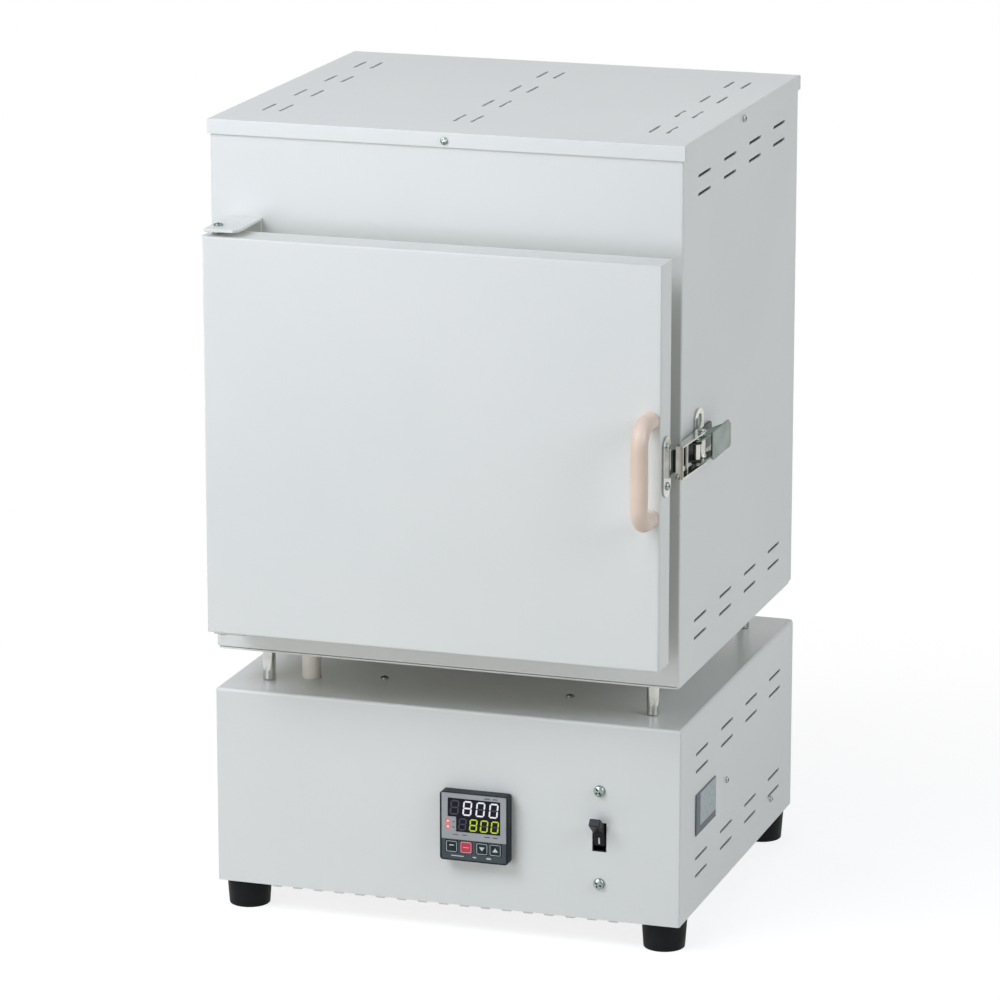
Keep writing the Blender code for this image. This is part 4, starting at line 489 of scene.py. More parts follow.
def blend_colours(tree, factor, first, second):
    """Mix two colours, each a socket or a plain colour, by a mask."""
    made = add_node(tree, "ShaderNodeMix", data_type="RGBA", Factor=factor)
    for socket, value in zip([s for s in made.inputs if s.type == "RGBA"], (first, second)):
        feed(tree, socket, value)
    return next(s for s in made.outputs if s.type == "RGBA")


def bump(tree, height, strength, distance):
    made = add_node(tree, "ShaderNodeBump", Strength=strength, Distance=distance, Height=height)
    return made.outputs["Normal"]


def new_group(name, inputs, outputs):
    """An empty shader group with its named sockets; gives it, its inputs and its end node."""
    group = bpy.data.node_groups.new(name, "ShaderNodeTree")
    for label, value in inputs.items():
        kind = "NodeSocketFloat" if isinstance(value, float) else "NodeSocketVector"
        group.interface.new_socket(name=label, in_out="INPUT", socket_type=kind).default_value = value
    for label in outputs:
        group.interface.new_socket(name=label, in_out="OUTPUT", socket_type="NodeSocketFloat")
    return group, group.nodes.new("NodeGroupInput").outputs, group.nodes.new("NodeGroupOutput")


def orange_peel_group():
    """Sprayed paint: a fine peel for the bump and a slow cloud for tone and gloss."""
    group, given, end = new_group(
        "orange_peel", {"Peel Scale": 900.0, "Cloud Scale": 9.0}, ("Height", "Cloud"))
    where = own_place(group)
    peel = noise(group, where, given["Peel Scale"], 2.0)
    cloud = noise(group, where, given["Cloud Scale"], 3.0)
    wire(group, end, Height=peel, Cloud=remap(group, cloud, 0.15, 0.85, smooth=True))
    return group


def drawn_metal_group():
    """Drawn or rolled metal: streaks along one way, and the dull patches that handling leaves."""
    group, given, end = new_group(
        "drawn_metal", {"Stretch": (1.0, 1.0, 0.05), "Streak Scale": 1400.0, "Patch Scale": 60.0},
        ("Streak", "Patch"))
    where = own_place(group)
    stretched = reckon(group, "MULTIPLY", where, given["Stretch"], kind="ShaderNodeVectorMath")
    streak = noise(group, stretched, given["Streak Scale"], 2.0)
    patch = noise(group, where, given["Patch Scale"], 4.0)
    wire(group, end, Streak=streak, Patch=remap(group, patch, 0.2, 0.8, smooth=True))
    return group


def moulded_skin_group():
    """Moulded plastic: the tool's fine spark texture, with faint flow clouds."""
    group, given, end = new_group(
        "moulded_skin", {"Spark Scale": 2600.0, "Flow Scale": 45.0}, ("Height", "Flow"))
    where = own_place(group)
    spark = noise(group, where, given["Spark Scale"], 3.0, 0.7)
    flow = noise(group, where, given["Flow Scale"], 2.0)
    wire(group, end, Height=spark, Flow=remap(group, flow, 0.2, 0.8, smooth=True))
    return group


def edge_highlight_and_wear_group():
    """Mask of convex edges, for a painted highlight along them and the wear that hands and cloths leave
    there.
    """
    group, given, end = new_group("rubbed_edge", {"Reach": 0.08}, ("Mask",))
    shape = group.nodes.new("ShaderNodeNewGeometry").outputs["Pointiness"]
    past = reckon(group, "SUBTRACT", shape, 0.5)
    wire(group, end, Mask=reckon(group, "DIVIDE", past, given["Reach"], use_clamp=True))
    return group


def fibre_mat_group():
    """Pressed fibre: short matted fibres over slow swells."""
    group, given, end = new_group("fibre_mat", {"Fibre Scale": 420.0}, ("Height", "Fibre", "Swell"))
    where = own_place(group)
    bent = add_node(group, "ShaderNodeTexNoise", Scale=70.0, Detail=2.0, Vector=where)
    sway = reckon(group, "MULTIPLY_ADD", bent.outputs["Color"], (0.012, 0.012, 0.012), where,
                  kind="ShaderNodeVectorMath")
    lines = add_node(group, "ShaderNodeTexWave", wave_type="BANDS", bands_direction="DIAGONAL",
                     Distortion=14.0, Detail=3.0, Detail_Scale=1.6, Vector=sway,
                     Scale=given["Fibre Scale"]).outputs["Fac"]
    swell = noise(group, where, 28.0, 3.0)
    wire(group, end, Height=lines, Fibre=remap(group, lines, 0.55, 0.95), Swell=remap(group, swell, 0.3, 0.7))
    return group


GROUPS = {
    "orange_peel": orange_peel_group,
    "drawn_metal": drawn_metal_group,
    "moulded_skin": moulded_skin_group,
    "rubbed_edge": edge_highlight_and_wear_group,
    "fibre_mat": fibre_mat_group,
}


def use_group(tree, name, **values):
    """Place a shared group in a material, with the material's own values, and give its outputs."""
    made = tree.nodes.new("ShaderNodeGroup")
    made.node_tree = bpy.data.node_groups.get(name) or GROUPS[name]()
    wire(tree, made, **values)
    return made.outputs


def new_finish(name, **values):
    """A material with its Principled shader; values are set on the shader's own sockets."""
    material = bpy.data.materials.new(name)
    material.use_nodes = True
    tree = material.node_tree
    shader = tree.nodes["Principled BSDF"]
    wire(tree, shader, **values)
    return material, tree, shader


# Finishes


def enamel_finish(colours):
    material, tree, shader = new_finish("enamel", Specular_IOR_Level=0.4)
    peel = use_group(tree, "orange_peel", Peel_Scale=1100.0, Cloud_Scale=6.0)
    edge = use_group(tree, "rubbed_edge", Reach=0.12)
    tone = blend_colours(tree, peel["Cloud"], colours.paint, colours.paint_cloud)
    # Enamel goes paler along convex edges: a painted highlight.
    painted_highlight = multiply(tree, edge["Mask"], 0.1)
    wire(tree, shader, Base_Color=blend_colours(tree, painted_highlight, tone, srgb(241, 241, 235)),
         Roughness=remap(tree, peel["Cloud"], 0.0, 1.0, 0.29, 0.31),
         Normal=bump(tree, peel["Height"], 0.05, 0.0002))
    return material


def metal_finish(name, tone, dull, polished, matt, stretch, depth):
    """Plated metal with drawn streaks, rougher where it is dull."""
    material, tree, shader = new_finish(name, Metallic=1.0)
    drawn = use_group(tree, "drawn_metal", Stretch=stretch)
    wire(tree, shader, Base_Color=blend_colours(tree, drawn["Patch"], tone, dull),
         Roughness=remap(tree, drawn["Patch"], 0.0, 1.0, polished, matt),
         Normal=bump(tree, drawn["Streak"], depth, 0.0001))
    return material


def zinc_finish(colours):
    """Zinc-plated sheet with its faint spangle."""
    material, tree, shader = new_finish("zinc_sheet", Metallic=0.85)
    drawn = use_group(tree, "drawn_metal", Stretch=(1.0, 0.2, 1.0), Patch_Scale=24.0)
    spangle = add_node(tree, "ShaderNodeTexVoronoi", Scale=150.0, Vector=own_place(tree))
    flake = add_node(tree, "ShaderNodeSeparateColor", Color=spangle.outputs["Color"]).outputs
    mask = multiply(tree, flake["Red"], 0.45)
    wire(tree, shader, Base_Color=blend_colours(tree, mask, colours.zinc, srgb(160, 164, 165)),
         Roughness=remap(tree, flake["Green"], 0.0, 1.0, 0.3, 0.48),
         Normal=bump(tree, drawn["Streak"], 0.06, 0.0001))
    return material


def rubber_finish(colours):
    material, tree, shader = new_finish("foot_rubber", Specular_IOR_Level=0.14)
    skin = use_group(tree, "moulded_skin", Spark_Scale=1500.0, Flow_Scale=80.0)
    edge = use_group(tree, "rubbed_edge", Reach=0.15)
    tone = blend_colours(tree, skin["Flow"], colours.rubber, srgb(15, 16, 17))
    # The rubber goes grey along its convex edges.
    grey_edges = multiply(tree, edge["Mask"], 0.5)
    wire(tree, shader, Base_Color=blend_colours(tree, grey_edges, tone, srgb(44, 44, 44)),
         Roughness=remap(tree, skin["Flow"], 0.0, 1.0, 0.5, 0.66),
         Normal=bump(tree, skin["Height"], 0.2, 0.0002))
    return material


def board_finish(colours):
    """Ceramic fibre board: matted fibres, soft swells and a faint heat stain."""
    material, tree, shader = new_finish("fibre_board", Roughness=0.95, Specular_IOR_Level=0.1)
    mat = use_group(tree, "fibre_mat", Fibre_Scale=420.0)
    tone = blend_colours(tree, multiply(tree, mat["Fibre"], 0.55), colours.board, colours.board_fibre)
    stained = multiply(tree, mat["Swell"], 0.3)
    wire(tree, shader, Base_Color=blend_colours(tree, stained, tone, srgb(226, 214, 194)),
         Normal=bump(tree, mat["Height"], 0.35, 0.0004))
    return material


def refractory_finish(colours):
    """Fired ceramic with its grog specks."""
    material, tree, shader = new_finish("refractory", Specular_IOR_Level=0.25)
    skin = use_group(tree, "moulded_skin", Spark_Scale=900.0, Flow_Scale=30.0)
    specks = add_node(tree, "ShaderNodeTexVoronoi", Scale=520.0, Vector=own_place(tree))
    mask = remap(tree, specks.outputs["Distance"], 0.22, 0.1)
    tone = blend_colours(tree, skin["Flow"], colours.refractory, srgb(224, 214, 198))
    speckled = multiply(tree, mask, 0.7)
    wire(tree, shader, Base_Color=blend_colours(tree, speckled, tone, colours.refractory_speck),
         Roughness=remap(tree, skin["Flow"], 0.0, 1.0, 0.7, 0.85),
         Normal=bump(tree, skin["Height"], 0.3, 0.0003))
    return material


def moulding_finish(name, tone, other, polished, matt, depth=0.12, edge_highlight_tone=None, gloss=0.5):
    """Moulded plastic; the edge tone, where given, is a painted highlight along its convex edges, with what
    handling leaves there.
    """
    material, tree, shader = new_finish(name, Specular_IOR_Level=gloss)
    skin = use_group(tree, "moulded_skin")
    colour = blend_colours(tree, skin["Flow"], tone, other)
    if edge_highlight_tone:
        edge = use_group(tree, "rubbed_edge", Reach=0.12)
        colour = blend_colours(tree, multiply(tree, edge["Mask"], 0.6), colour, edge_highlight_tone)
    wire(tree, shader, Base_Color=colour, Roughness=remap(tree, skin["Flow"], 0.0, 1.0, polished, matt),
         Normal=bump(tree, skin["Height"], depth, 0.00008))
    return material


def face_finish(colours):
    """The controller's printed film: grey above, and a dark band behind the keys."""
    material, tree, shader = new_finish("face_film")
    skin = use_group(tree, "moulded_skin", Spark_Scale=3200.0)
    split = add_node(tree, "ShaderNodeSeparateXYZ", Vector=own_place(tree))
    edge = middle("controller_face").z - BAND_DROP
    mask = remap(tree, split.outputs["Z"], edge + BAND_BLUR, edge - BAND_BLUR)
    grey = blend_colours(tree, skin["Flow"], colours.face, srgb(157, 160, 159))
    dark = blend_colours(tree, skin["Flow"], colours.band, srgb(42, 54, 58))
    wire(tree, shader, Base_Color=blend_colours(tree, mask, grey, dark),
         Roughness=remap(tree, skin["Flow"], 0.0, 1.0, 0.36, 0.44),
         Normal=bump(tree, skin["Height"], 0.1, 0.00005))
    return material


def window_finish(colours):
    """Dark display window, glossy, with the faint dust that a wiped window keeps."""
    material, tree, shader = new_finish("window_gloss", Specular_IOR_Level=0.15)
    skin = use_group(tree, "moulded_skin", Spark_Scale=700.0, Flow_Scale=120.0)
    wire(tree, shader, Base_Color=blend_colours(tree, skin["Flow"], colours.window, srgb(20, 22, 36)),
         Roughness=remap(tree, skin["Height"], 0.3, 0.7, 0.1, 0.18))
    return material


def glow_finish(name, tone, strength=1.0):
    """Lit element, slightly deeper in tone in patches, as light spreads under the window."""
    material, tree, shader = new_finish(name, Base_Color=(0.02, 0.02, 0.02), Roughness=0.5,
                                        Specular_IOR_Level=0.1, Emission_Strength=strength)
    skin = use_group(tree, "moulded_skin", Spark_Scale=900.0, Flow_Scale=600.0)
    deeper = tuple(level * 0.86 for level in tone)
    wire(tree, shader, Emission_Color=blend_colours(tree, skin["Flow"], tone, deeper))
    return material


def print_finish(name, tone, other, metallic=0.0):
    """Screen print or film, with the slight mottling of ink."""
    material, tree, shader = new_finish(name, Metallic=metallic)
    skin = use_group(tree, "moulded_skin", Spark_Scale=2200.0, Flow_Scale=240.0)
    wire(tree, shader, Base_Color=blend_colours(tree, skin["Flow"], tone, other),
         Roughness=remap(tree, skin["Flow"], 0.0, 1.0, 0.4, 0.52),
         Normal=bump(tree, skin["Height"], 0.08, 0.00004))
    return material


FINISHES = {
    "enamel": enamel_finish,
    "galvanised": zinc_finish,
    "rubber": rubber_finish,
    "fibre_board": board_finish,
    "ceramic": refractory_finish,
    "grey_plastic": face_finish,
    "window": window_finish,
    "chrome": lambda c: metal_finish("bright_plate", c.plate, c.plate_dull, 0.07, 0.2, DRAWN_UP, 0.05),
    "latch": lambda c: metal_finish("latch_plate", c.latch, srgb(87, 104, 96), 0.16, 0.3, DRAWN_BACK, 0.06),
    # The latch's inside finish is painted shade: a dark, dull sheet where shade falls in the channel.
    "latch_shade": lambda c: metal_finish("latch_inside", c.latch_shade, srgb(40, 43, 40), 0.3, 0.45,
                                          DRAWN_BACK, 0.06),
    "screw": lambda c: metal_finish("screw_steel", c.screw, srgb(120, 130, 124), 0.16, 0.3, UNDRAWN, 0.06),
    "wire": lambda c: metal_finish("heating_wire", c.wire, srgb(92, 84, 80), 0.45, 0.6, UNDRAWN, 0.1),
    "handle_plastic": lambda c: moulding_finish("handle_moulding", c.handle, srgb(229, 205, 184), 0.34, 0.44,
                                                0.08),
    # The case's and the black moulding's paler edge tones are a painted highlight along their convex edges,
    # with handling wear.
    "case": lambda c: moulding_finish("case_moulding", c.moulding, srgb(8, 13, 16), 0.36, 0.46, 0.15,
                                      srgb(48, 62, 64), 0.16),
    "black_plastic": lambda c: moulding_finish("black_moulding", c.black, srgb(8, 9, 10), 0.3, 0.42, 0.12,
                                               srgb(34, 38, 42), 0.2),
    "red_plastic": lambda c: moulding_finish("red_key", c.red, srgb(190, 38, 66), 0.38, 0.46),
    "cream_plastic": lambda c: moulding_finish("cream_moulding", c.cream, srgb(214, 208, 192), 0.4, 0.5),
    "tube": lambda c: moulding_finish("conduit_tube_finish", c.tube, srgb(242, 235, 218), 0.42, 0.55, 0.1),
    "segment_off": lambda c: print_finish("segment_off", c.segment_off, srgb(46, 49, 55)),
    "mark": lambda c: print_finish("pale_mark", c.mark, srgb(190, 200, 203)),
    "ink": lambda c: print_finish("dark_ink", c.ink, srgb(84, 90, 94)),
    "label": lambda c: print_finish("label_field", c.label, srgb(153, 164, 166), 0.3),
    "label_edge": lambda c: print_finish("label_border", c.label_edge, srgb(80, 84, 94)),
    "digits_upper": lambda c: glow_finish("digits_upper", c.digits_upper),
    "digits_lower": lambda c: glow_finish("digits_lower", c.digits_lower),
    "lamp": lambda c: glow_finish("lamp_glow", c.lamp),
    "lamp_halo": lambda c: glow_finish("lamp_halo", c.lamp_halo, 0.9),
}
MADE = {}


def finish(name):
    """The named finish, made at its first use."""
    if name not in MADE:
        MADE[name] = FINISHES[name](bpy.context.scene.furnace_colours)
    return MADE[name]


# Places


def low(node):
    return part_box(node)[0]


def high(node):
    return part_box(node)[1]


def middle(node):
    return (low(node) + high(node)) / 2


def half_width(node):
    return (high(node).x - low(node).x) / 2


def joint_place(name):
    return Vector(next(joint["pos_m"] for joint in frame["joints"] if joint["name"] == name))


def above(point, level=0.0):
    """An upright place over a point, with its origin at a level."""
    return Matrix.Translation((point.x, point.y, level))


def facing(at, way):
    """A place at a point whose Z looks along way, with its Y as near upright as it can be."""
    way = Vector(way).normalized()
    side = Vector((0, 0, 1)).cross(way)
    if side.length < 0.01:
        side = Vector((1, 0, 0))
    side.normalize()
    turn = Matrix((side, way.cross(side), way)).transposed()
    return Matrix.Translation(Vector(at)) @ turn.to_4x4()


# Outlines


def arc(centre, radius, start, end, steps):
    """Points on a circle between two angles in degrees."""
    points = []
    for i in range(steps + 1):
        angle = math.radians(start + (end - start) * i / steps)
        points.append((centre[0] + radius * math.cos(angle), centre[1] + radius * math.sin(angle)))
    return points


def rounded_rectangle(width, height, radius, steps=5, centre=(0.0, 0.0)):
    x, y = width / 2 - radius, height / 2 - radius
    points = []
    for sx, sy, start in ((1, 1, 0), (-1, 1, 90), (-1, -1, 180), (1, -1, 270)):
        points += arc((centre[0] + sx * x, centre[1] + sy * y), radius, start, start + 90, steps)
    return points


def rectangle(left, bottom, right, top):
    return [(left, bottom), (right, bottom), (right, top), (left, top)]


def soft_profile(points, radius, steps=3):
    """Round a profile's inner corners by up to a radius."""
    result = [points[0]]
    for before, corner, after in zip(points, points[1:], points[2:]):
        a, b, c = Vector(before), Vector(corner), Vector(after)
        reach = min(radius, (a - b).length / 2, (c - b).length / 2)
        start = b + (a - b).normalized() * reach
        end = b + (c - b).normalized() * reach
        for i in range(steps + 1):
            t = i / steps
            point = start * (1 - t) ** 2 + b * 2 * t * (1 - t) + end * t ** 2
            result.append((point.x, point.y))
    result.append(points[-1])
    return result


# Mesh building: each shape comes back as a BMesh, and some can be added to one that is given


def prism(outline, place, start, end, bm=None):
    """A flat outline, drawn on place's X and Y, pushed along its Z from start to end."""
    bm = bm or bmesh.new()
    first = [bm.verts.new(place @ Vector((u, v, start))) for u, v in outline]
    last = [bm.verts.new(place @ Vector((u, v, end))) for u, v in outline]
    count = len(outline)
    for i in range(count):
        j = (i + 1) % count
        bm.faces.new((first[i], first[j], last[j], last[i]))
    bm.faces.new(list(reversed(first)))
    bm.faces.new(last)
    return bm


def levels(outline, middle_z, near, far):
    """The same flat outline above and below a level, from near to far on both sides of it."""
    bm = bmesh.new()
    for way in (-1, 1):
        prism(outline, UPRIGHT, *sorted((middle_z + way * near, middle_z + way * far)), bm)
    return bm


def ring(outer, inner, place, start, end):
    """A flat frame between two outlines of as many points, pushed along place's Z."""
    bm = bmesh.new()
    loops = []
    for outline in (outer, inner):
        for level in (start, end):
            loops.append([bm.verts.new(place @ Vector((u, v, level))) for u, v in outline])
    count = len(outer)
    for i in range(count):
        j = (i + 1) % count
        for a, b in ((0, 1), (2, 3), (0, 2), (1, 3)):
            bm.faces.new((loops[a][i], loops[a][j], loops[b][j], loops[b][i]))
    return bm


def turned(profile, place, steps=ROUND, closed=False, bm=None):
    """Points of (radius, level) turned about place's Z."""
    bm = bm or bmesh.new()
    rings = []
    for radius, level in profile:
        here = []
        for i in range(1 if radius < TINY else steps):
            angle = 2 * math.pi * i / steps
            spot = Vector((radius * math.cos(angle), radius * math.sin(angle), level))
            here.append(bm.verts.new(place @ spot))
        rings.append(here)
    pairs = list(zip(rings, rings[1:]))
    if closed:
        pairs.append((rings[-1], rings[0]))
    for here, there in pairs:
        for i in range(steps):
            j = (i + 1) % steps
            corners = [here[i % len(here)], here[j % len(here)], there[j % len(there)], there[i % len(there)]]
            corners = list(dict.fromkeys(corners))
            if len(corners) > 2:
                bm.faces.new(corners)
    return bm


def tube(points, radii, sides=FINE, bm=None):
    """A round bar along points, with its own radius at each."""
    bm = bm or bmesh.new()
    rings = []
    across = None
    for i, point in enumerate(points):
        before, after = points[max(i - 1, 0)], points[min(i + 1, len(points) - 1)]
        along = (after - before).normalized()
        if across is None:
            across = along.orthogonal().normalized()
        across = (across - along * across.dot(along)).normalized()
        third = along.cross(across)
        here = []
        for k in range(sides):
            angle = 2 * math.pi * k / sides
            offset = (across * math.cos(angle) + third * math.sin(angle)) * radii[i]
            here.append(bm.verts.new(point + offset))
        rings.append(here)
    for here, there in zip(rings, rings[1:]):
        for k in range(sides):
            n = (k + 1) % sides
            bm.faces.new((here[k], here[n], there[n], there[k]))
    bm.faces.new(list(reversed(rings[0])))
    bm.faces.new(rings[-1])
    return bm


# Pieces


def new_mesh(name, bm, outward=True):
    if outward:
        bmesh.ops.recalc_face_normals(bm, faces=bm.faces)
    mesh = bpy.data.meshes.new(name)
    bm.to_mesh(mesh)
    bm.free()
    return mesh


def new_object(name, data):
    made = bpy.data.objects.new(name, data)
    bpy.context.scene.collection.objects.link(made)
    return made


def soften(piece, width, steps=2):
    """Round a piece's edges and keep its flats flat."""
    if width:
        edge = piece.modifiers.new("soft edges", "BEVEL")
        edge.width = width
        edge.segments = steps
        edge.limit_method = "ANGLE"
        edge.angle_limit = SHARP
        edge.use_clamp_overlap = True
        edge.miter_outer = "MITER_ARC"
    shade = piece.modifiers.new("even shading", "WEIGHTED_NORMAL")
    shade.keep_sharp = not width
    shade.weight = 80


def add_piece(bm, name, body, look, edge=0.0, steps=2, replaced=()):
    """Turn a mesh into a piece that rides on a body, with its finish and softened edges."""
    mesh = new_mesh(name, bm)
    mesh.shade_smooth()
    if not edge:
        mesh.set_sharp_from_angle(angle=SHARP)
    piece = new_object(name, mesh)
    mesh.materials.append(finish(look))
    soften(piece, edge, steps)
    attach(piece, body)
    if replaced:
        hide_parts(*replaced)
    return piece


def carve(piece, bm, operation="DIFFERENCE"):
    """Cut a tool mesh from a piece, or join it, and keep the result as the piece's own mesh."""
    mesh = new_mesh("tool", bm)
    tool = new_object("tool", mesh)
    step = new_object("step", piece.data)
    cutter = step.modifiers.new("carve", "BOOLEAN")
    cutter.operation = operation
    cutter.solver = "EXACT"
    cutter.object = tool
    shape = bpy.context.evaluated_depsgraph_get()
    result = bpy.data.meshes.new_from_object(step.evaluated_get(shape))
    result.shade_smooth()
    piece.data = result
    bpy.data.objects.remove(step)
    bpy.data.objects.remove(tool)
    bpy.data.meshes.remove(mesh)


def drill(piece, at, radius):
    """An upright hole through all of a piece."""
    profile = [(0, 0), (radius, 0), (radius, 2 * HOLE_REACH), (0, 2 * HOLE_REACH)]
    carve(piece, turned(profile, above(at, at.z - HOLE_REACH), FINE))


SCREWS = {}


def screw_mesh(radius, height):
    """Pan head with its cross recess, made once for each size."""
    size = (round(radius / TINY), round(height / TINY))
    if size not in SCREWS:
        profile = [(0, 0), (radius, 0), (radius, height * SCREW_RIM)]
        for degrees in range(15, 90, 15):
            angle = math.radians(degrees)
            crown = SCREW_RIM + SCREW_CROWN * math.sin(angle)
            profile.append((radius * math.cos(angle) ** SCREW_FULLNESS, height * crown))
        profile.append((0, height))
        holder = new_object("pan_head", new_mesh("pan_head", turned(profile, UPRIGHT, FINE)))
        long, wide = (radius * share for share in SCREW_RECESS)
        arms = [(long, -wide), (long, wide), (wide, wide), (wide, long), (-wide, long), (-wide, wide),
                (-long, wide), (-long, -wide), (-wide, -wide), (-wide, -long), (wide, -long), (wide, -wide)]
        carve(holder, prism(arms, UPRIGHT, height * SCREW_RIM, height * 1.5))
        mesh = SCREWS[size] = holder.data
        bpy.data.objects.remove(holder)
        mesh.materials.clear()
        mesh.materials.append(finish("screw"))
        mesh.shade_smooth()
        mesh.set_sharp_from_angle(angle=SHARP)
    return SCREWS[size]


def add_screw(name, at, way, body, radius=None, height=None, turn=0.0):
    """A pan-head screw standing on a surface, its recess turned by an angle in degrees."""
    sizes = bpy.context.scene.furnace_sizes
    screw = new_object(name, screw_mesh(radius or sizes.screw_radius, height or sizes.screw_height))
    screw.matrix_world = facing(at, way) @ Matrix.Rotation(math.radians(turn), 4, "Z")
    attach(screw, body)


def dress(nodes, look, edge, steps=2, whole=True):
    """Give kept CAD nodes their finish, joined corners, whole flats where asked, and softened edges."""
    for name in nodes:
        node = NODES[name]
        for slot in node.material_slots:
            slot.material = finish(look)
        weld = node.modifiers.new("joined corners", "WELD")
        weld.merge_threshold = TINY * 10
        if whole:
            flats = node.modifiers.new("whole flats", "DECIMATE")
            flats.decimate_type = "DISSOLVE"
            flats.angle_limit = FLAT
        soften(node, edge, steps)


# Operators: one for each piece or group of like pieces


class FURNACE_OT_sheet_metal(bpy.types.Operator):
    """Paint the casing, base, lid and door, plate the unpainted sheet, and add the body's lower lip."""

    bl_idname = "furnace.sheet_metal"
    bl_label = "Sheet metal"

    def execute(self, context):
        sizes = context.scene.furnace_sizes
        dress(PAINTED, "enamel", sizes.paint_edge)
        dress(SLOTTED, "enamel", sizes.slot_edge)
        dress(PLATED, "galvanised", sizes.plate_edge)
        bottom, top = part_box("casing_wrap")
        centre = ((bottom.x + top.x) / 2, (bottom.y + top.y) / 2)
        # Black rubber band in the recessed seam: painted shade; the lip below it is the enamel sheet.
        for name, look, inset, start, end in (("floor_gasket", "rubber", SEAM_SHADE_INSET, 0.0, LIP_START),
                                              ("floor_lip", "enamel", LIP_INSET, LIP_START, LIP_END)):
            wide, deep = top.x - bottom.x - 2 * inset, top.y - bottom.y - 2 * inset
            outer = rounded_rectangle(wide, deep, LIP_ROUND, LIP_STEPS, centre)
            wide, deep = wide - 2 * LIP_WIDTH, deep - 2 * LIP_WIDTH
            inner = rounded_rectangle(wide, deep, LIP_ROUND / 2, LIP_STEPS, centre)
            bm = ring(outer, inner, Matrix.Translation((0, 0, bottom.z)), -end, -start)
            add_piece(bm, name, "furnace", look, sizes.slot_edge)
        return {"FINISHED"}


class FURNACE_OT_chamber(bpy.types.Operator):
    """Finish the boards, heating plates, hearth and probe, and lay the coils in their grooves."""

    bl_idname = "furnace.chamber"
    bl_label = "Heated chamber"

    def execute(self, context):
        sizes = context.scene.furnace_sizes
        dress(BOARDS, "fibre_board", sizes.board_edge, 3)
        dress(("hearth_plate",), "ceramic", CERAMIC_EDGE)
        dress(("heater_left", "heater_right", "heater_terminals"), "ceramic", CERAMIC_EDGE, whole=False)
        dress(("thermocouple",), "chrome", 0.0)
        for name, way in (("heater_left", 1), ("heater_right", -1)):
            face = (high if way > 0 else low)(name).x
            x = face - way * (sizes.coil_radius + sizes.coil_wire)
            front, back = low(name).y + COIL_INSET, high(name).y - COIL_INSET
            bottom, top = low(name).z + COIL_MARGIN, high(name).z - COIL_MARGIN
            count = round((back - front) / COIL_PITCH) * COIL_STEPS
            bm = bmesh.new()
            for row in range(COIL_ROWS):
                z = bottom + (top - bottom) * row / (COIL_ROWS - 1)
                points = []
                for i in range(count + 1):
                    angle = 2 * math.pi * i / COIL_STEPS
                    points.append(Vector((x + sizes.coil_radius * math.cos(angle),
                                          front + (back - front) * i / count,
                                          z + sizes.coil_radius * math.sin(angle))))
                tube(points, [sizes.coil_wire] * len(points), WIRE_SIDES, bm)
            add_piece(bm, f"coils_{name}", "furnace", "wire")
        return {"FINISHED"}


class FURNACE_OT_feet(bpy.types.Operator):
    """Turn the four rubber feet, each with its washer and screw in the well."""

    bl_idname = "furnace.feet"
    bl_label = "Rubber feet"

    def execute(self, context):
        for name in FEET:
            centre, outer = middle(name), half_width(name)
            height = high(name).z - low(name).z
            sole = outer - FOOT_TAPER
            inward, outward = (sole - inset for inset in FOOT_GROOVE)
            profile = [(0, FOOT_WELL_DEPTH), (FOOT_WELL, FOOT_WELL_DEPTH), (FOOT_WELL, 0), (inward, 0),
                       (inward, FOOT_GROOVE_DEPTH), (outward, FOOT_GROOVE_DEPTH), (outward, 0), (sole, 0),
                       (outer - FOOT_PLAY, height), (0, height)]
            foot = turned(soft_profile(profile, FOOT_SOFTNESS), above(centre))
            add_piece(foot, f"rubber_{name}", "furnace", "rubber", replaced=(name,))
            profile = rectangle(WASHER_BORE, -WASHER_SHEET, WASHER_RADIUS, 0)
            washer = turned(profile, above(centre, FOOT_WELL_DEPTH), FINE, True)
            add_piece(washer, f"washer_{name}", "furnace", "chrome", WASHER_EDGE)
            add_screw(f"screw_{name}", (centre.x, centre.y, FOOT_WELL_DEPTH - WASHER_SHEET), (0, 0, -1),
                      "furnace", *FOOT_SCREW)
        return {"FINISHED"}


class FURNACE_OT_posts(bpy.types.Operator):
    """Turn the bright posts and the conduit between base and body."""

    bl_idname = "furnace.posts"
    bl_label = "Posts and conduit"

    def execute(self, context):
        for name in POSTS:
            profile = rectangle(0, low(name).z, half_width(name), high(name).z)
            rod = turned(soft_profile(profile, POST_SOFTNESS), above(middle(name)))
            add_piece(rod, f"rod_{name}", "furnace", "chrome", replaced=(name,))
        name = "conduit_tube"
        radius = half_width(name)
        profile = rectangle(radius - CONDUIT_WALL, low(name).z, radius, high(name).z)
        add_piece(turned(profile, above(middle(name)), ROUND, True), "conduit", "furnace", "tube",
                  CONDUIT_EDGE, 3, (name,))
        return {"FINISHED"}


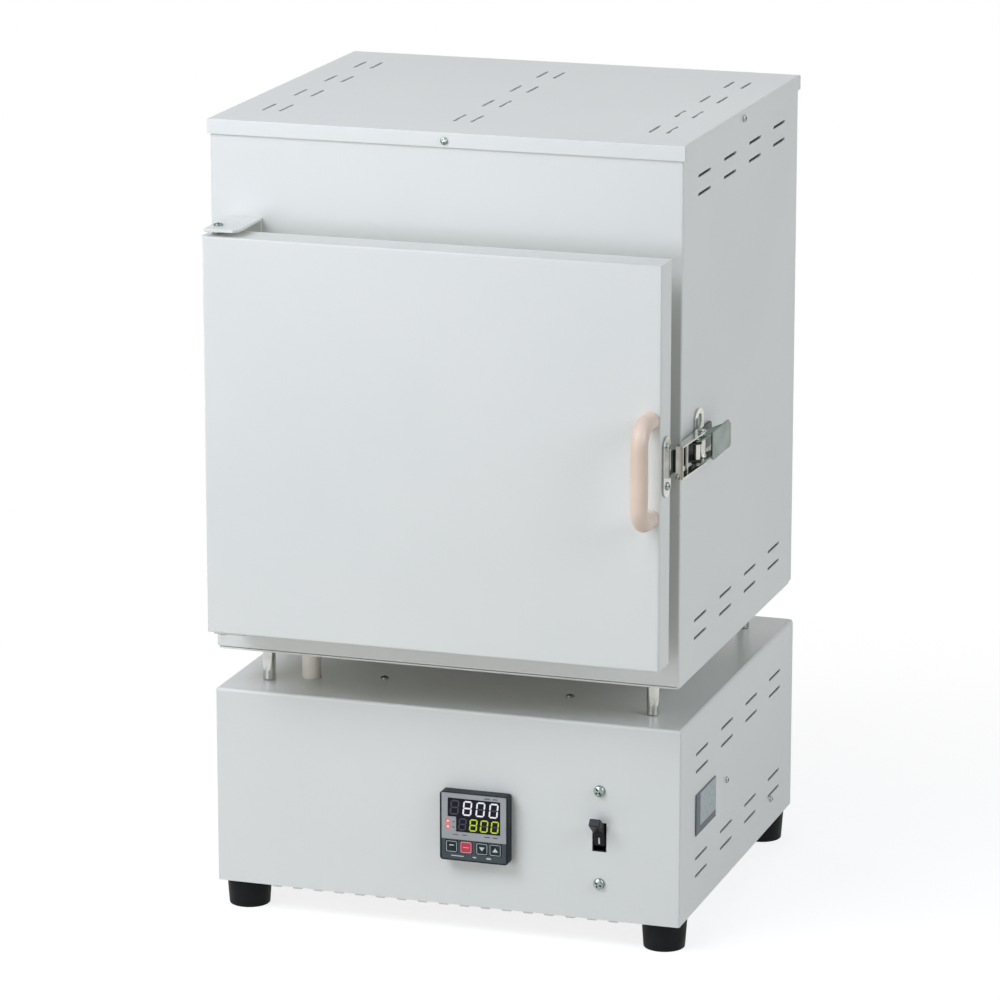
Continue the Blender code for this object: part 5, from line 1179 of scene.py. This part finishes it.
class FURNACE_OT_handle(bpy.types.Operator):
    """Sweep the moulded door handle."""

    bl_idname = "furnace.handle"
    bl_label = "Door handle"

    def execute(self, context):
        bottom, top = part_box("door_handle")
        centre = (bottom + top) / 2
        radius = (top.x - bottom.x) / 2
        half = (top.z - bottom.z) / 2 - radius
        reach = top.y - bottom.y - radius
        bend = HANDLE_BEND
        upper = [(0.0, half)] + [(y, half) for y in HANDLE_SEAT]
        for i in range(HANDLE_STEPS + 1):
            angle = math.pi / 2 * i / HANDLE_STEPS
            upper.append((bend - reach - bend * math.sin(angle), half - bend + bend * math.cos(angle)))
        upper += [(-reach, (half - bend) * (1 - i / 4)) for i in range(1, 4)]
        route = upper + [(-reach, 0.0)] + [(y, -z) for y, z in reversed(upper)]
        points = [Vector((centre.x, top.y + y, centre.z + z)) for y, z in route]
        radii = [radius * HANDLE_SLIM] * len(points)
        for i, share in enumerate(HANDLE_ENDS):
            radii[i] = radii[-1 - i] = radius * share
        swell = len(points) // 2
        for i in range(swell - 4, swell + 5):
            radii[i] = radius * (HANDLE_SLIM + HANDLE_SWELL * (1 - abs(i - swell) / 5))
        piece = add_piece(tube(points, radii, ROUND), "grip", "door", "handle_plastic",
                          HANDLE_EDGE, 3, ("door_handle",))
        piece.modifiers["soft edges"].angle_limit = HANDLE_SHARP
        return {"FINISHED"}


class FURNACE_OT_hinges(bpy.types.Operator):
    """Turn the hinge pins, and screw their brackets to the body."""

    bl_idname = "furnace.hinges"
    bl_label = "Hinge pins"

    def execute(self, context):
        for edge, way in (("upper", 1), ("lower", -1)):
            name = f"hinge_pin_{edge}"
            far, near = (high, low) if way > 0 else (low, high)
            centre = middle(name)
            seat = far(f"hinge_bracket_{edge}").z
            heights = (near(name).z, far("door_pan").z + way * HINGE_PLAY,
                       seat - way * HINGE_PLATE - way * HINGE_PLAY, seat)
            inner, collar, under, over = [z * way for z in heights]
            profile = [(0, inner), (HINGE_SHANK, inner), (HINGE_SHANK, collar), (HINGE_COLLAR, collar),
                       (HINGE_COLLAR, under), (HINGE_SHANK, under), (HINGE_SHANK, over + HINGE_RISE),
                       (0, over + HINGE_RISE)]
            place = facing((centre.x, centre.y, 0), (0, 0, way))
            add_piece(turned(soft_profile(profile, HINGE_PLAY), place, FINE), f"pin_{edge}", "furnace",
                      "chrome", replaced=(name,))
            head = (centre.x, centre.y, seat + way * HINGE_PLAY)
            add_screw(f"pin_head_{edge}", head, (0, 0, way), "furnace", HINGE_HEAD,
                      abs(far(name).z - seat) - HINGE_PLAY, 20)
            leg = near(f"hinge_bracket_{edge}").z + way * BRACKET_LEG
            wall = low("casing_wrap").y - BRACKET_SHEET
            add_screw(f"bracket_screw_{edge}", (centre.x + BRACKET_STEP, wall, leg), (0, -1, 0), "furnace",
                      *BRACKET_SCREW, 35)
        return {"FINISHED"}


class FURNACE_OT_latch(bpy.types.Operator):
    """Fold the draw latch and its keeper, and fit their pins and screws."""

    bl_idname = "furnace.latch"
    bl_label = "Draw latch"

    def execute(self, context):
        edge = context.scene.furnace_sizes.plate_edge
        pivot = joint_place("latch_lever_pivot")
        hinge = middle("latch_loop_pin")
        self.make_seat(pivot, edge)
        self.make_lever(pivot, hinge, edge)
        self.make_loop(hinge, edge)
        self.make_keeper(edge)
        return {"FINISHED"}

    def make_seat(self, pivot, edge):
        """Plate on the body's side, the two ears that hold the lever's pin, and the padlock lug."""
        bottom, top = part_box("latch_base")
        wall = bottom.x
        width = top.y + SEAT_MORE - bottom.y
        outline = rounded_rectangle(width, 2 * SEAT_HALF, SEAT_ROUND, 4, (bottom.y + width / 2, pivot.z))
        # The seat takes the dark inside finish: painted shade in the channel behind the lever.
        seat = add_piece(prism(outline, SIDEWAYS, wall, wall + LATCH_SHEET), "latch_seat", "furnace",
                         "latch_shade", edge, 2, ("latch_base",))
        root = wall + LATCH_SHEET / 2
        ear = [(root, pivot.y - EAR_FRONT)] + arc((pivot.x, pivot.y), EAR_ROUND, -90, 90, 10)
        ear.append((root, pivot.y + EAR_BACK))
        carve(seat, levels(ear, pivot.z, SEAT_EAR - LATCH_SHEET, SEAT_EAR), "UNION")
        drill(seat, pivot, LATCH_BORE)
        stop = SEAT_EAR - LATCH_SHEET - LATCH_PLAY
        profile = [(0.0, LEVER_CHEEK + PIN_HEAD_END), (PIN_HEAD, LEVER_CHEEK + PIN_HEAD_END),
                   (PIN_HEAD, LEVER_CHEEK + LATCH_PLAY), (LATCH_PIN, LEVER_CHEEK + LATCH_PLAY),
                   (LATCH_PIN, stop), (PIN_STOP, stop)]
        profile += [(radius, -level) for radius, level in reversed(profile)]
        pin = turned(profile, Matrix.Translation(pivot), FINE)
        add_piece(pin, "latch_pin", "furnace", "chrome", LATCH_EDGE)
        back, front = LUG_BACK + bottom.y, LUG_BACK + bottom.y - LUG_WIDTH
        foot = pivot.z + SEAT_HALF + LATCH_SEAM
        lug = [(back, foot)] + arc((back - LUG_ROUND, top.z - LUG_ROUND), LUG_ROUND, 0, 90, 8)
        lug += arc((front + LUG_ROUND, top.z - LUG_ROUND), LUG_ROUND, 90, 180, 8) + [(front, foot)]
        piece = add_piece(prism(lug, SIDEWAYS, wall, wall + LATCH_SHEET), "latch_lug", "furnace", "chrome",
                          edge, 3)
        eye = rounded_rectangle(*LUG_EYE, 6, ((back + front) / 2, top.z - LUG_EYE_DROP))
        carve(piece, prism(eye, SIDEWAYS, wall - EYE_SPARE, wall + 3 * EYE_SPARE))

    def make_lever(self, pivot, hinge, edge):
        """Channel: an outer plate, a cheek above and below that reaches the pin, and the loop's barrel."""
        top = high("latch_lever")
        outer = top.x - LEVER_INSET
        inner = outer - LATCH_SHEET
        front, back = pivot.y + LEVER_FRONT, top.y - LEVER_SHORT
        upper, lower = pivot.z + LEVER_UPPER, pivot.z - LEVER_LOWER
        outline = [(front, lower + LEVER_NOSE[1]), (front + LEVER_NOSE[0], lower),
                   (back - LEVER_HEEL[0], lower), (back, lower + LEVER_HEEL[1]),
                   (back, upper - LEVER_BEAK[1]), (back - LEVER_BEAK[0], upper), (front, upper)]
        lever = add_piece(prism(outline, SIDEWAYS, inner, outer), "latch_channel", "latch_lever", "latch",
                          edge * 2, 3, ("latch_lever",))
        seam, setback = inner + LATCH_SHEET / 2, pivot.x - CHEEK_SETBACK
        cheek = arc((pivot.x, pivot.y), CHEEK_ROUND, 180, 360, 12)
        cheek += [(seam, front), (seam, pivot.y + CHEEK_REACH)] + [(setback, pivot.y + y) for y in CHEEK_BACK]
        carve(lever, levels(cheek, pivot.z, LEVER_CHEEK - LATCH_SHEET, LEVER_CHEEK), "UNION")
        axle = Vector((hinge.x, hinge.y, pivot.z))
        drill(lever, pivot, LATCH_BORE)
        drill(lever, axle, LATCH_BORE)
        inside = LEVER_CHEEK - LATCH_SHEET - LATCH_PLAY
        profile = [(0, LOOP_HALF + PIN_HEAD_END), (BARREL_HEAD, LOOP_HALF + PIN_HEAD_END),
                   (BARREL_HEAD, LOOP_HALF + LATCH_PLAY), (LATCH_PIN, LOOP_HALF + LATCH_PLAY),
                   (LATCH_PIN, inside), (BARREL_COLLAR, inside), (BARREL_COLLAR, inside - BARREL_COLLAR_END),
                   (BARREL_MIDDLE, inside - BARREL_MIDDLE_START)]
        profile += [(radius, -level) for radius, level in reversed(profile)]
        add_piece(turned(profile, Matrix.Translation(axle), ROUND), "latch_barrel", "latch_lever", "chrome",
                  LATCH_EDGE, 2, ("latch_loop_pin",))

    def make_loop(self, hinge, edge):
        """Bent strip: a wall in front of the keeper's lip, and an arm above and below to the barrel."""
        front = low("latch_loop").y
        left = low("latch_loop").x - LOOP_OUT
        right = left + LOOP_WALL
        wall = rectangle(left, front, right, front + LATCH_SHEET)
        loop = add_piece(prism(wall, UPRIGHT, hinge.z - LOOP_HALF, hinge.z + LOOP_HALF), "latch_strip",
                         "latch_loop", "chrome", edge * 2, 3, ("latch_loop",))
        arm = [(left, front), (right, front)] + arc((hinge.x, hinge.y), CHEEK_ROUND, -10, 190, 14)
        carve(loop, levels(arm, hinge.z, LOOP_HALF - LOOP_ARM, LOOP_HALF), "UNION")
        x, back, half = right - LOOP_ARM, front + LOOP_BAR, LOOP_HALF - LOOP_BAR_SHORT
        bar = rectangle(x - LOOP_BAR_WIDTH, back, x, back + LATCH_SHEET)
        carve(loop, prism(bar, UPRIGHT, hinge.z - half, hinge.z + half), "UNION")
        drill(loop, hinge, LATCH_BORE)

    def make_keeper(self, edge):
        """Screwed plate on the door's edge, and the tongue whose lip the loop draws on."""
        bottom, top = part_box("latch_keeper")
        level = (bottom.z + top.z) / 2
        x, rear = bottom.x, bottom.y + 2 * KEEPER_HALF
        outline = rounded_rectangle(2 * KEEPER_HALF, top.z - bottom.z, KEEPER_HALF - KEEPER_EASE, 8,
                                    (rear - KEEPER_HALF, level))
        add_piece(prism(outline, SIDEWAYS, x, x + LATCH_SHEET), "keeper_plate", "door", "chrome",
                  edge, 3, ("latch_keeper",))
        y = rear + LATCH_SEAM
        outline = [(x, y), (x + LATCH_SHEET, y), (x + LATCH_SHEET, top.y - LATCH_SHEET),
                   (top.x, top.y - LATCH_SHEET), (top.x, top.y), (x, top.y)]
        # The tongue takes the same dark finish: painted shade where it sits inside the loop.
        add_piece(prism(outline, UPRIGHT, level - TONGUE_HALF, level + TONGUE_HALF), "keeper_tongue", "door",
                  "latch_shade", edge, 3)
        for name, way in (("upper", 1), ("lower", -1)):
            place = (x + LATCH_SHEET, rear - KEEPER_HALF, level + way * KEEPER_PITCH / 2)
            add_screw(f"keeper_screw_{name}", place, (1, 0, 0), "door", *KEEPER_SCREW, 15 * way)


def segment_outline(kind, width, height, thick):
    """One bar of a seven-segment digit, about the digit's middle, with pointed ends."""
    half, gap = thick / 2, thick * 0.16
    x, z = width / 2 - half, height / 2 - half
    lying = {"a": z, "g": 0.0, "d": -z}
    if kind in lying:
        level = lying[kind]
        reach = x - gap
        return [(-reach, level), (-reach + half, level + half), (reach - half, level + half), (reach, level),
                (reach - half, level - half), (-reach + half, level - half)]
    side = x if kind in "bc" else -x
    start, end = (gap, z - gap) if kind in "bf" else (gap - z, -gap)
    return [(side, start), (side + half, start + half), (side + half, end - half), (side, end),
            (side - half, end - half), (side - half, start + half)]


def add_digit(bm, kinds, centre, size, y, depth):
    """Bars of a slanted digit, standing on the window at y."""
    for kind in kinds:
        outline = [(centre[0] + u + v * DIGIT_SLANT, centre[1] + v) for u, v in segment_outline(kind, *size)]
        prism(outline, facing((0, y, 0), (0, -1, 0)), 0, depth, bm)


class FURNACE_OT_controller(bpy.types.Operator):
    """Finish the controller: its case, film, window, digits, lamps and printed marks."""

    bl_idname = "furnace.controller"
    bl_label = "Temperature controller"

    def execute(self, context):
        depth = context.scene.furnace_sizes.print_depth
        dress(("controller_case", "controller_clamp"), "case", CASE_EDGE, 3, whole=False)
        dress(("controller_face",), "grey_plastic", FILM_EDGE, whole=False)
        dress(("display_window",), "window", FILM_EDGE)
        at = middle("controller_face")
        glass, film = low("display_window").y, low("controller_face").y
        for row, (centres, level, size) in DIGIT_ROWS.items():
            lit, unlit = bmesh.new(), bmesh.new()
            for shown, x in zip(DIGITS_SHOWN, centres):
                spot = (at.x + x, at.z + level)
                dark = "".join(k for k in "abcdefg" if k not in shown)
                add_digit(lit, shown, spot, size, glass, depth)
                add_digit(unlit, dark, spot, size, glass, depth / 2)
            add_piece(lit, f"digits_{row}", "furnace", f"digits_{row}")
            add_piece(unlit, f"segments_{row}", "furnace", "segment_off")
        lamps, halos = bmesh.new(), bmesh.new()
        profile = [(0, 0), (LAMP_RADIUS, 0), (LAMP_RADIUS * LAMP_CROWN, LAMP_RISE[0]), (0, LAMP_RISE[1])]
        for z in LAMP_LEVELS:
            spot = facing((at.x + LAMP_X, film, at.z + z), (0, -1, 0))
            turned(rectangle(LAMP_RADIUS, 0, LAMP_HALO, depth), spot, FINE, True, halos)
            turned(soft_profile(profile, LAMP_SOFTNESS), spot, FINE, bm=lamps)
        add_piece(lamps, "output_lamps", "furnace", "lamp")
        add_piece(halos, "lamp_halos", "furnace", "lamp_halo")
        place = facing((0, film, 0), (0, -1, 0))
        for look, name, dashes in (("ink", "film_dashes", FILM_DASHES), ("mark", "band_dashes", BAND_DASHES)):
            bm = bmesh.new()
            for x, z, width, height in dashes:
                outline = rounded_rectangle(width, height, height * DASH_ROUND, 2, (at.x + x, at.z + z))
                prism(outline, place, 0, depth, bm)
            add_piece(bm, name, "furnace", look)
        return {"FINISHED"}


class FURNACE_OT_keys(bpy.types.Operator):
    """Mould the four keys, each with its printed outline and symbol."""

    bl_idname = "furnace.keys"
    bl_label = "Controller keys"

    def execute(self, context):
        depth = context.scene.furnace_sizes.print_depth
        for name in KEYS:
            bottom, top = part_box(name)
            centre = (bottom + top) / 2
            side = top.x - bottom.x
            place = facing((centre.x, bottom.y, centre.z), (0, -1, 0))
            look, slot = ("red_plastic", "red_plastic") if name == "run_key" else ("case", "black_plastic")
            add_piece(prism(rounded_rectangle(side, side, KEY_ROUND), place, bottom.y - top.y, 0),
                      f"cap_{name}", name, look, KEY_EDGE, 3, (name,))
            outlines = [rounded_rectangle(side - inset, side - inset, corner) for inset, corner in KEY_FRAME]
            marks = ring(*outlines, place, 0, depth)
            if name in ("down_key", "up_key"):
                way = 1 if name == "up_key" else -1
                foot = -ARROW_FOOT * way
                symbol = [(-ARROW_HALF, foot), (ARROW_HALF, foot), (0, ARROW_TIP * way)]
            else:
                symbol = rounded_rectangle(*(MENU_DASH if name == "menu_key" else RUN_DASH))
            prism(symbol, place, 0, depth, marks)
            add_piece(marks, f"print_{name}", name, "mark")
        return {"FINISHED"}


class FURNACE_OT_switch(bpy.types.Operator):
    """Mould the power switch's body and lever, with its plain mark, and fit its screws."""

    bl_idname = "furnace.switch"
    bl_label = "Power switch"

    def execute(self, context):
        dress(("switch_body",), "black_plastic", SWITCH_BODY_EDGE)
        half = half_width("switch_lever")
        turn = Matrix(((0, 0, 1, 0), (-1, 0, 0, 0), (0, 1, 0, 0), (0, 0, 0, 1)))
        tilt = Matrix.Rotation(SWITCH_TILT, 4, "X").inverted()
        place = Matrix.Translation(joint_place("switch_pivot")) @ tilt @ turn
        flank = [(SWITCH_REACH, SWITCH_TIP), SWITCH_NECK, SWITCH_SHOULDER]
        outline = flank + arc((0, 0), SWITCH_HUB, 90, 270, 16) + [(x, -y) for x, y in reversed(flank)]
        add_piece(prism(outline, place, -half, half), "switch_bat", "switch_lever", "black_plastic",
                  SWITCH_EDGE, 4, ("switch_lever",))
        first = Vector((SWITCH_SHOULDER[0], -SWITCH_SHOULDER[1], 0))
        second = Vector((SWITCH_NECK[0], -SWITCH_NECK[1], 0))
        outward = (place.to_3x3() @ Vector((second.y - first.y, first.x - second.x, 0))).normalized()
        spot = facing(place @ first.lerp(second, MARK_SHARE), outward)
        mark = prism(rounded_rectangle(*MARK_SIZE), spot, 0, context.scene.furnace_sizes.print_depth)
        add_piece(mark, "switch_mark", "switch_lever", "mark")
        seat = low("base_cover").y - SWITCH_SCREW_SEAT
        for name, angle in SWITCH_SCREW_TURNS.items():
            centre = middle(name)
            at = (centre.x, seat, centre.z)
            shank = turned(rectangle(0, 0, *SWITCH_SCREW_SHANK), facing(at, (0, 1, 0)), FINE)
            add_piece(shank, f"shank_{name}", "furnace", "chrome", replaced=(name,))
            add_screw(f"head_{name}", at, (0, -1, 0), "furnace", half_width(name), seat - low(name).y, angle)
        return {"FINISHED"}


class FURNACE_OT_plate(bpy.types.Operator):
    """Print the blank field of the rating plate on the base's side."""

    bl_idname = "furnace.plate"
    bl_label = "Rating plate"

    def execute(self, context):
        dress(("rating_plate",), "label_edge", FILM_EDGE)
        bottom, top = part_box("rating_plate")
        outline = rectangle(bottom.y + PLATE_FRONT, bottom.z + PLATE_FOOT, top.y - PLATE_BORDER,
                            top.z - PLATE_BORDER)
        bm = prism(outline, facing((top.x, 0, 0), (1, 0, 0)), 0, context.scene.furnace_sizes.print_depth)
        add_piece(bm, "rating_field", "furnace", "label")
        return {"FINISHED"}


class FURNACE_OT_gland(bpy.types.Operator):
    """Mould the cord gland in the back panel: six-sided nut and ribbed dome."""

    bl_idname = "furnace.gland"
    bl_label = "Cord gland"

    def execute(self, context):
        bottom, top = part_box("cord_gland")
        centre = (bottom + top) / 2
        wall = high("base_back_panel").y
        place = facing((centre.x, wall, centre.z), (0, 1, 0))
        length = top.y - wall
        shoulder, *crown = GLAND_DOME
        profile = [(GLAND_BORE, bottom.y - wall), (GLAND_THREAD, bottom.y - wall),
                   (GLAND_THREAD, GLAND_NUT_END), shoulder]
        profile += [(radius, length - short) for radius, short in crown] + [(GLAND_BORE, length)]
        add_piece(turned(profile, place, ROUND, True), "gland_dome", "furnace", "black_plastic",
                  GLAND_EDGE, 2, ("cord_gland",))
        rib = [(RIB_ROOT[0], -RIB_ROOT[1]), (RIB_CREST[0], -RIB_CREST[1]), RIB_CREST, RIB_ROOT]
        ribs = bmesh.new()
        for i in range(GLAND_RIBS):
            turn = place @ Matrix.Rotation(2 * math.pi * i / GLAND_RIBS, 4, "Z")
            prism(rib, turn, RIB_START, length - RIB_SHORT, ribs)
        add_piece(ribs, "gland_ribs", "furnace", "black_plastic")
        angles = [math.pi * i / 3 for i in range(6)]
        six = [(GLAND_NUT * math.cos(angle), GLAND_NUT * math.sin(angle)) for angle in angles]
        nut = add_piece(prism(six, place, GLAND_NUT_START, GLAND_NUT_END), "gland_nut", "furnace",
                        "black_plastic", NUT_EDGE, 3)
        carve(nut, turned(rectangle(0, 0, *NUT_HOLE), place, ROUND))
        return {"FINISHED"}


class FURNACE_OT_electrics(bpy.types.Operator):
    """Finish the relay and the terminal block inside the base, and fit the terminals' screws."""

    bl_idname = "furnace.electrics"
    bl_label = "Parts inside the base"

    def execute(self, context):
        dress(("solid_state_relay",), "black_plastic", RELAY_EDGE)
        dress(("terminal_block",), "cream_plastic", BLOCK_EDGE, whole=False)
        bottom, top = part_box("terminal_block")
        pitch = (top.x - bottom.x) / TERMINALS
        for i in range(TERMINALS):
            at = (bottom.x + pitch * (i + 0.5), (bottom.y + top.y) / 2, top.z - TERMINAL_DROP)
            add_screw(f"terminal_screw_{i}", at, (0, 0, 1), "furnace", *TERMINAL_SCREW, 25 * i)
        bottom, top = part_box("heater_terminals")
        pitch = (top.x - bottom.x) / HEATER_TERMINALS
        for i in range(HEATER_TERMINALS):
            at = (bottom.x + pitch * (i + 0.5), top.y - HEATER_SCREW_IN, (bottom.z + top.z) / 2)
            add_screw(f"heater_screw_{i}", at, (0, 1, 0), "furnace", *HEATER_SCREW, 30 * i)
        return {"FINISHED"}


class FURNACE_OT_screws(bpy.types.Operator):
    """Fit the small screws that hold the lid, the base cover, the back panels and the door's plate."""

    bl_idname = "furnace.screws"
    bl_label = "Casing screws"

    def execute(self, context):
        lid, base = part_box("lid"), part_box("base_cover")
        for name, at, way, turn in (("front", (LID_SCREW_X, lid[0].y, LID_SCREW_Z), (0, -1, 0), 20),
                                    ("right", (lid[1].x, LID_SCREW_Y, LID_SCREW_Z), (1, 0, 0), 50),
                                    ("back", (LID_SCREW_X, lid[1].y, LID_SCREW_Z), (0, 1, 0), 70)):
            add_screw(f"lid_screw_{name}", at, way, "furnace", turn=turn)
        for name, (x, y) in BASE_TOP_SCREWS.items():
            add_screw(f"base_top_screw_{name}", (x, y, base[1].z), (0, 0, 1), "furnace", BASE_TOP_RADIUS,
                      turn=30)
        for name, (y, z) in BASE_SIDE_SCREWS.items():
            add_screw(f"base_side_screw_{name}", (base[1].x, y, z), (1, 0, 0), "furnace", *BASE_SIDE_SCREW,
                      turn=40)
        for node, name, body, inset, drop in BACK_SCREWS:
            bottom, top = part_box(node)
            sides, rows = (bottom.x + inset, top.x - inset), (bottom.z + inset, top.z - drop)
            for i, (x, z) in enumerate([(x, z) for z in rows for x in sides]):
                add_screw(f"{name}_{i}", (x, top.y, z), (0, 1, 0), body, turn=25 * i)
        return {"FINISHED"}


class FURNACE_OT_stage(bpy.types.Operator):
    """Set the camera, lamps, world and floor."""

    bl_idname = "furnace.stage"
    bl_label = "Studio"

    def execute(self, context):
        scene = context.scene
        studio = scene.furnace_studio
        lens = bpy.data.cameras.new("camera")
        lens.lens = studio.lens
        lens.sensor_width = SENSOR
        camera = new_object("camera", lens)
        camera.location = studio.camera_place
        pitch, roll, yaw = studio.camera_turn
        turn = Matrix.Rotation(yaw, 3, "Z") @ Matrix.Rotation(pitch, 3, "X") @ Matrix.Rotation(roll, 3, "Z")
        camera.rotation_euler = turn.to_euler()
        scene.camera = camera
        for name, size, place in LAMPS:
            light = bpy.data.lights.new(f"{name}_lamp", "AREA")
            light.energy = getattr(studio, f"{name}_power")
            light.size = size
            light.color = studio.side_tone if name == "side" else studio.lamp_tone
            lamp = new_object(f"{name}_lamp", light)
            lamp.location = place
            lamp.rotation_euler = (LAMP_AIM - Vector(place)).to_track_quat("-Z", "Y").to_euler()
        self.make_world(scene, studio)
        self.make_floor(studio)
        for name, place, size in FLAGS:
            self.make_flag(name, place, size)
        scene.view_settings.view_transform = "Standard"
        return {"FINISHED"}

    def make_flag(self, name, place, size):
        """A black card that only gloss shows: it gives bright metal its dark bands."""
        mesh = new_mesh(name, prism(rounded_rectangle(*size, FLAG_ROUND), UPRIGHT, 0.0, FLAG_SHEET), False)
        flag = new_object(name, mesh)
        flag.matrix_world = facing(place, Vector((0, 0, place[2])) - Vector(place))
        for ray in ("camera", "diffuse", "transmission", "volume_scatter", "shadow"):
            setattr(flag, f"visible_{ray}", False)
        material = new_finish(name, Base_Color=FLAG_TONE, Roughness=1.0, Specular_IOR_Level=0.0)[0]
        mesh.materials.append(material)

    def seen_directly(self, tree):
        """Mask of the rays that show the backdrop: to the camera, in gloss and through glass."""
        path = tree.nodes.new("ShaderNodeLightPath").outputs
        first = reckon(tree, "MAXIMUM", path["Is Camera Ray"], path["Is Glossy Ray"])
        return reckon(tree, "MAXIMUM", first, path["Is Transmission Ray"])

    def mix_shaders(self, tree, mask, first, second):
        mix = add_node(tree, "ShaderNodeMixShader", Fac=mask)
        feed(tree, mix.inputs[1], first)
        feed(tree, mix.inputs[2], second)
        return mix.outputs[0]

    def make_world(self, scene, studio):
        scene.world = bpy.data.worlds.new("studio")
        scene.world.use_nodes = True
        tree = scene.world.node_tree
        tree.nodes.clear()
        seen = add_node(tree, "ShaderNodeBackground", Color=(1.0, 1.0, 1.0), Strength=1.0).outputs[0]
        light = add_node(tree, "ShaderNodeBackground", Color=SKY_TONE, Strength=studio.ambience)
        mixed = self.mix_shaders(tree, self.seen_directly(tree), light.outputs[0], seen)
        add_node(tree, "ShaderNodeOutputWorld", Surface=mixed)

    def make_floor(self, studio):
        """Floor that takes a soft shadow near the furnace, and is plain white where it is far."""
        bm = bmesh.new()
        bmesh.ops.create_circle(bm, cap_ends=True, segments=FLOOR_SIDES, radius=FLOOR_RADIUS)
        mesh = new_mesh("floor", bm, False)
        floor = new_object("floor", mesh)
        floor.location.z = -FLOOR_DROP
        material = bpy.data.materials.new("floor")
        material.use_nodes = True
        tree = material.node_tree
        tree.nodes.clear()
        plain = add_node(tree, "ShaderNodeBsdfDiffuse", Color=FLOOR_BOUNCE).outputs[0]
        shaded = add_node(tree, "ShaderNodeBsdfDiffuse", Color=FLOOR_TONE).outputs[0]
        glow = add_node(tree, "ShaderNodeEmission", Strength=studio.floor_glow).outputs[0]
        white = add_node(tree, "ShaderNodeEmission", Strength=1.0).outputs[0]
        both = tree.nodes.new("ShaderNodeAddShader")
        feed(tree, both.inputs[0], shaded)
        feed(tree, both.inputs[1], glow)
        far = add_node(tree, "ShaderNodeVectorMath", operation="LENGTH",
                       Vector=own_place(tree)).outputs["Value"]
        near_floor = self.mix_shaders(tree, remap(tree, far, *FLOOR_FADE), both.outputs[0], white)
        mixed = self.mix_shaders(tree, self.seen_directly(tree), plain, near_floor)
        add_node(tree, "ShaderNodeOutputMaterial", Surface=mixed)
        mesh.materials.append(material)


STAGES = (
    FURNACE_OT_sheet_metal, FURNACE_OT_chamber, FURNACE_OT_feet, FURNACE_OT_posts, FURNACE_OT_handle,
    FURNACE_OT_hinges, FURNACE_OT_latch, FURNACE_OT_controller, FURNACE_OT_keys, FURNACE_OT_switch,
    FURNACE_OT_plate, FURNACE_OT_gland, FURNACE_OT_electrics, FURNACE_OT_screws, FURNACE_OT_stage,
)


class FURNACE_PT_panel(bpy.types.Panel):
    """Lists the furnace's pieces and the studio."""

    bl_idname = "FURNACE_PT_panel"
    bl_label = "Bench Furnace"
    bl_space_type = "VIEW_3D"
    bl_region_type = "UI"
    bl_category = "Furnace"

    def draw(self, context):
        for operator in STAGES:
            self.layout.operator(operator.bl_idname)


CLASSES = (FurnaceColours, FurnaceSizes, FurnaceStudio, *STAGES, FURNACE_PT_panel)
SETTINGS = {
    "furnace_colours": FurnaceColours,
    "furnace_sizes": FurnaceSizes,
    "furnace_studio": FurnaceStudio,
}


def register():
    for cls in CLASSES:
        bpy.utils.register_class(cls)
    for name, group in SETTINGS.items():
        setattr(bpy.types.Scene, name, bpy.props.PointerProperty(type=group))


def unregister():
    for name in SETTINGS:
        delattr(bpy.types.Scene, name)
    for cls in reversed(CLASSES):
        bpy.utils.unregister_class(cls)


def main():
    register()
    for operator in STAGES:
        group, name = operator.bl_idname.split(".")
        getattr(getattr(bpy.ops, group), name)()


if __name__ == "__main__":
    main()
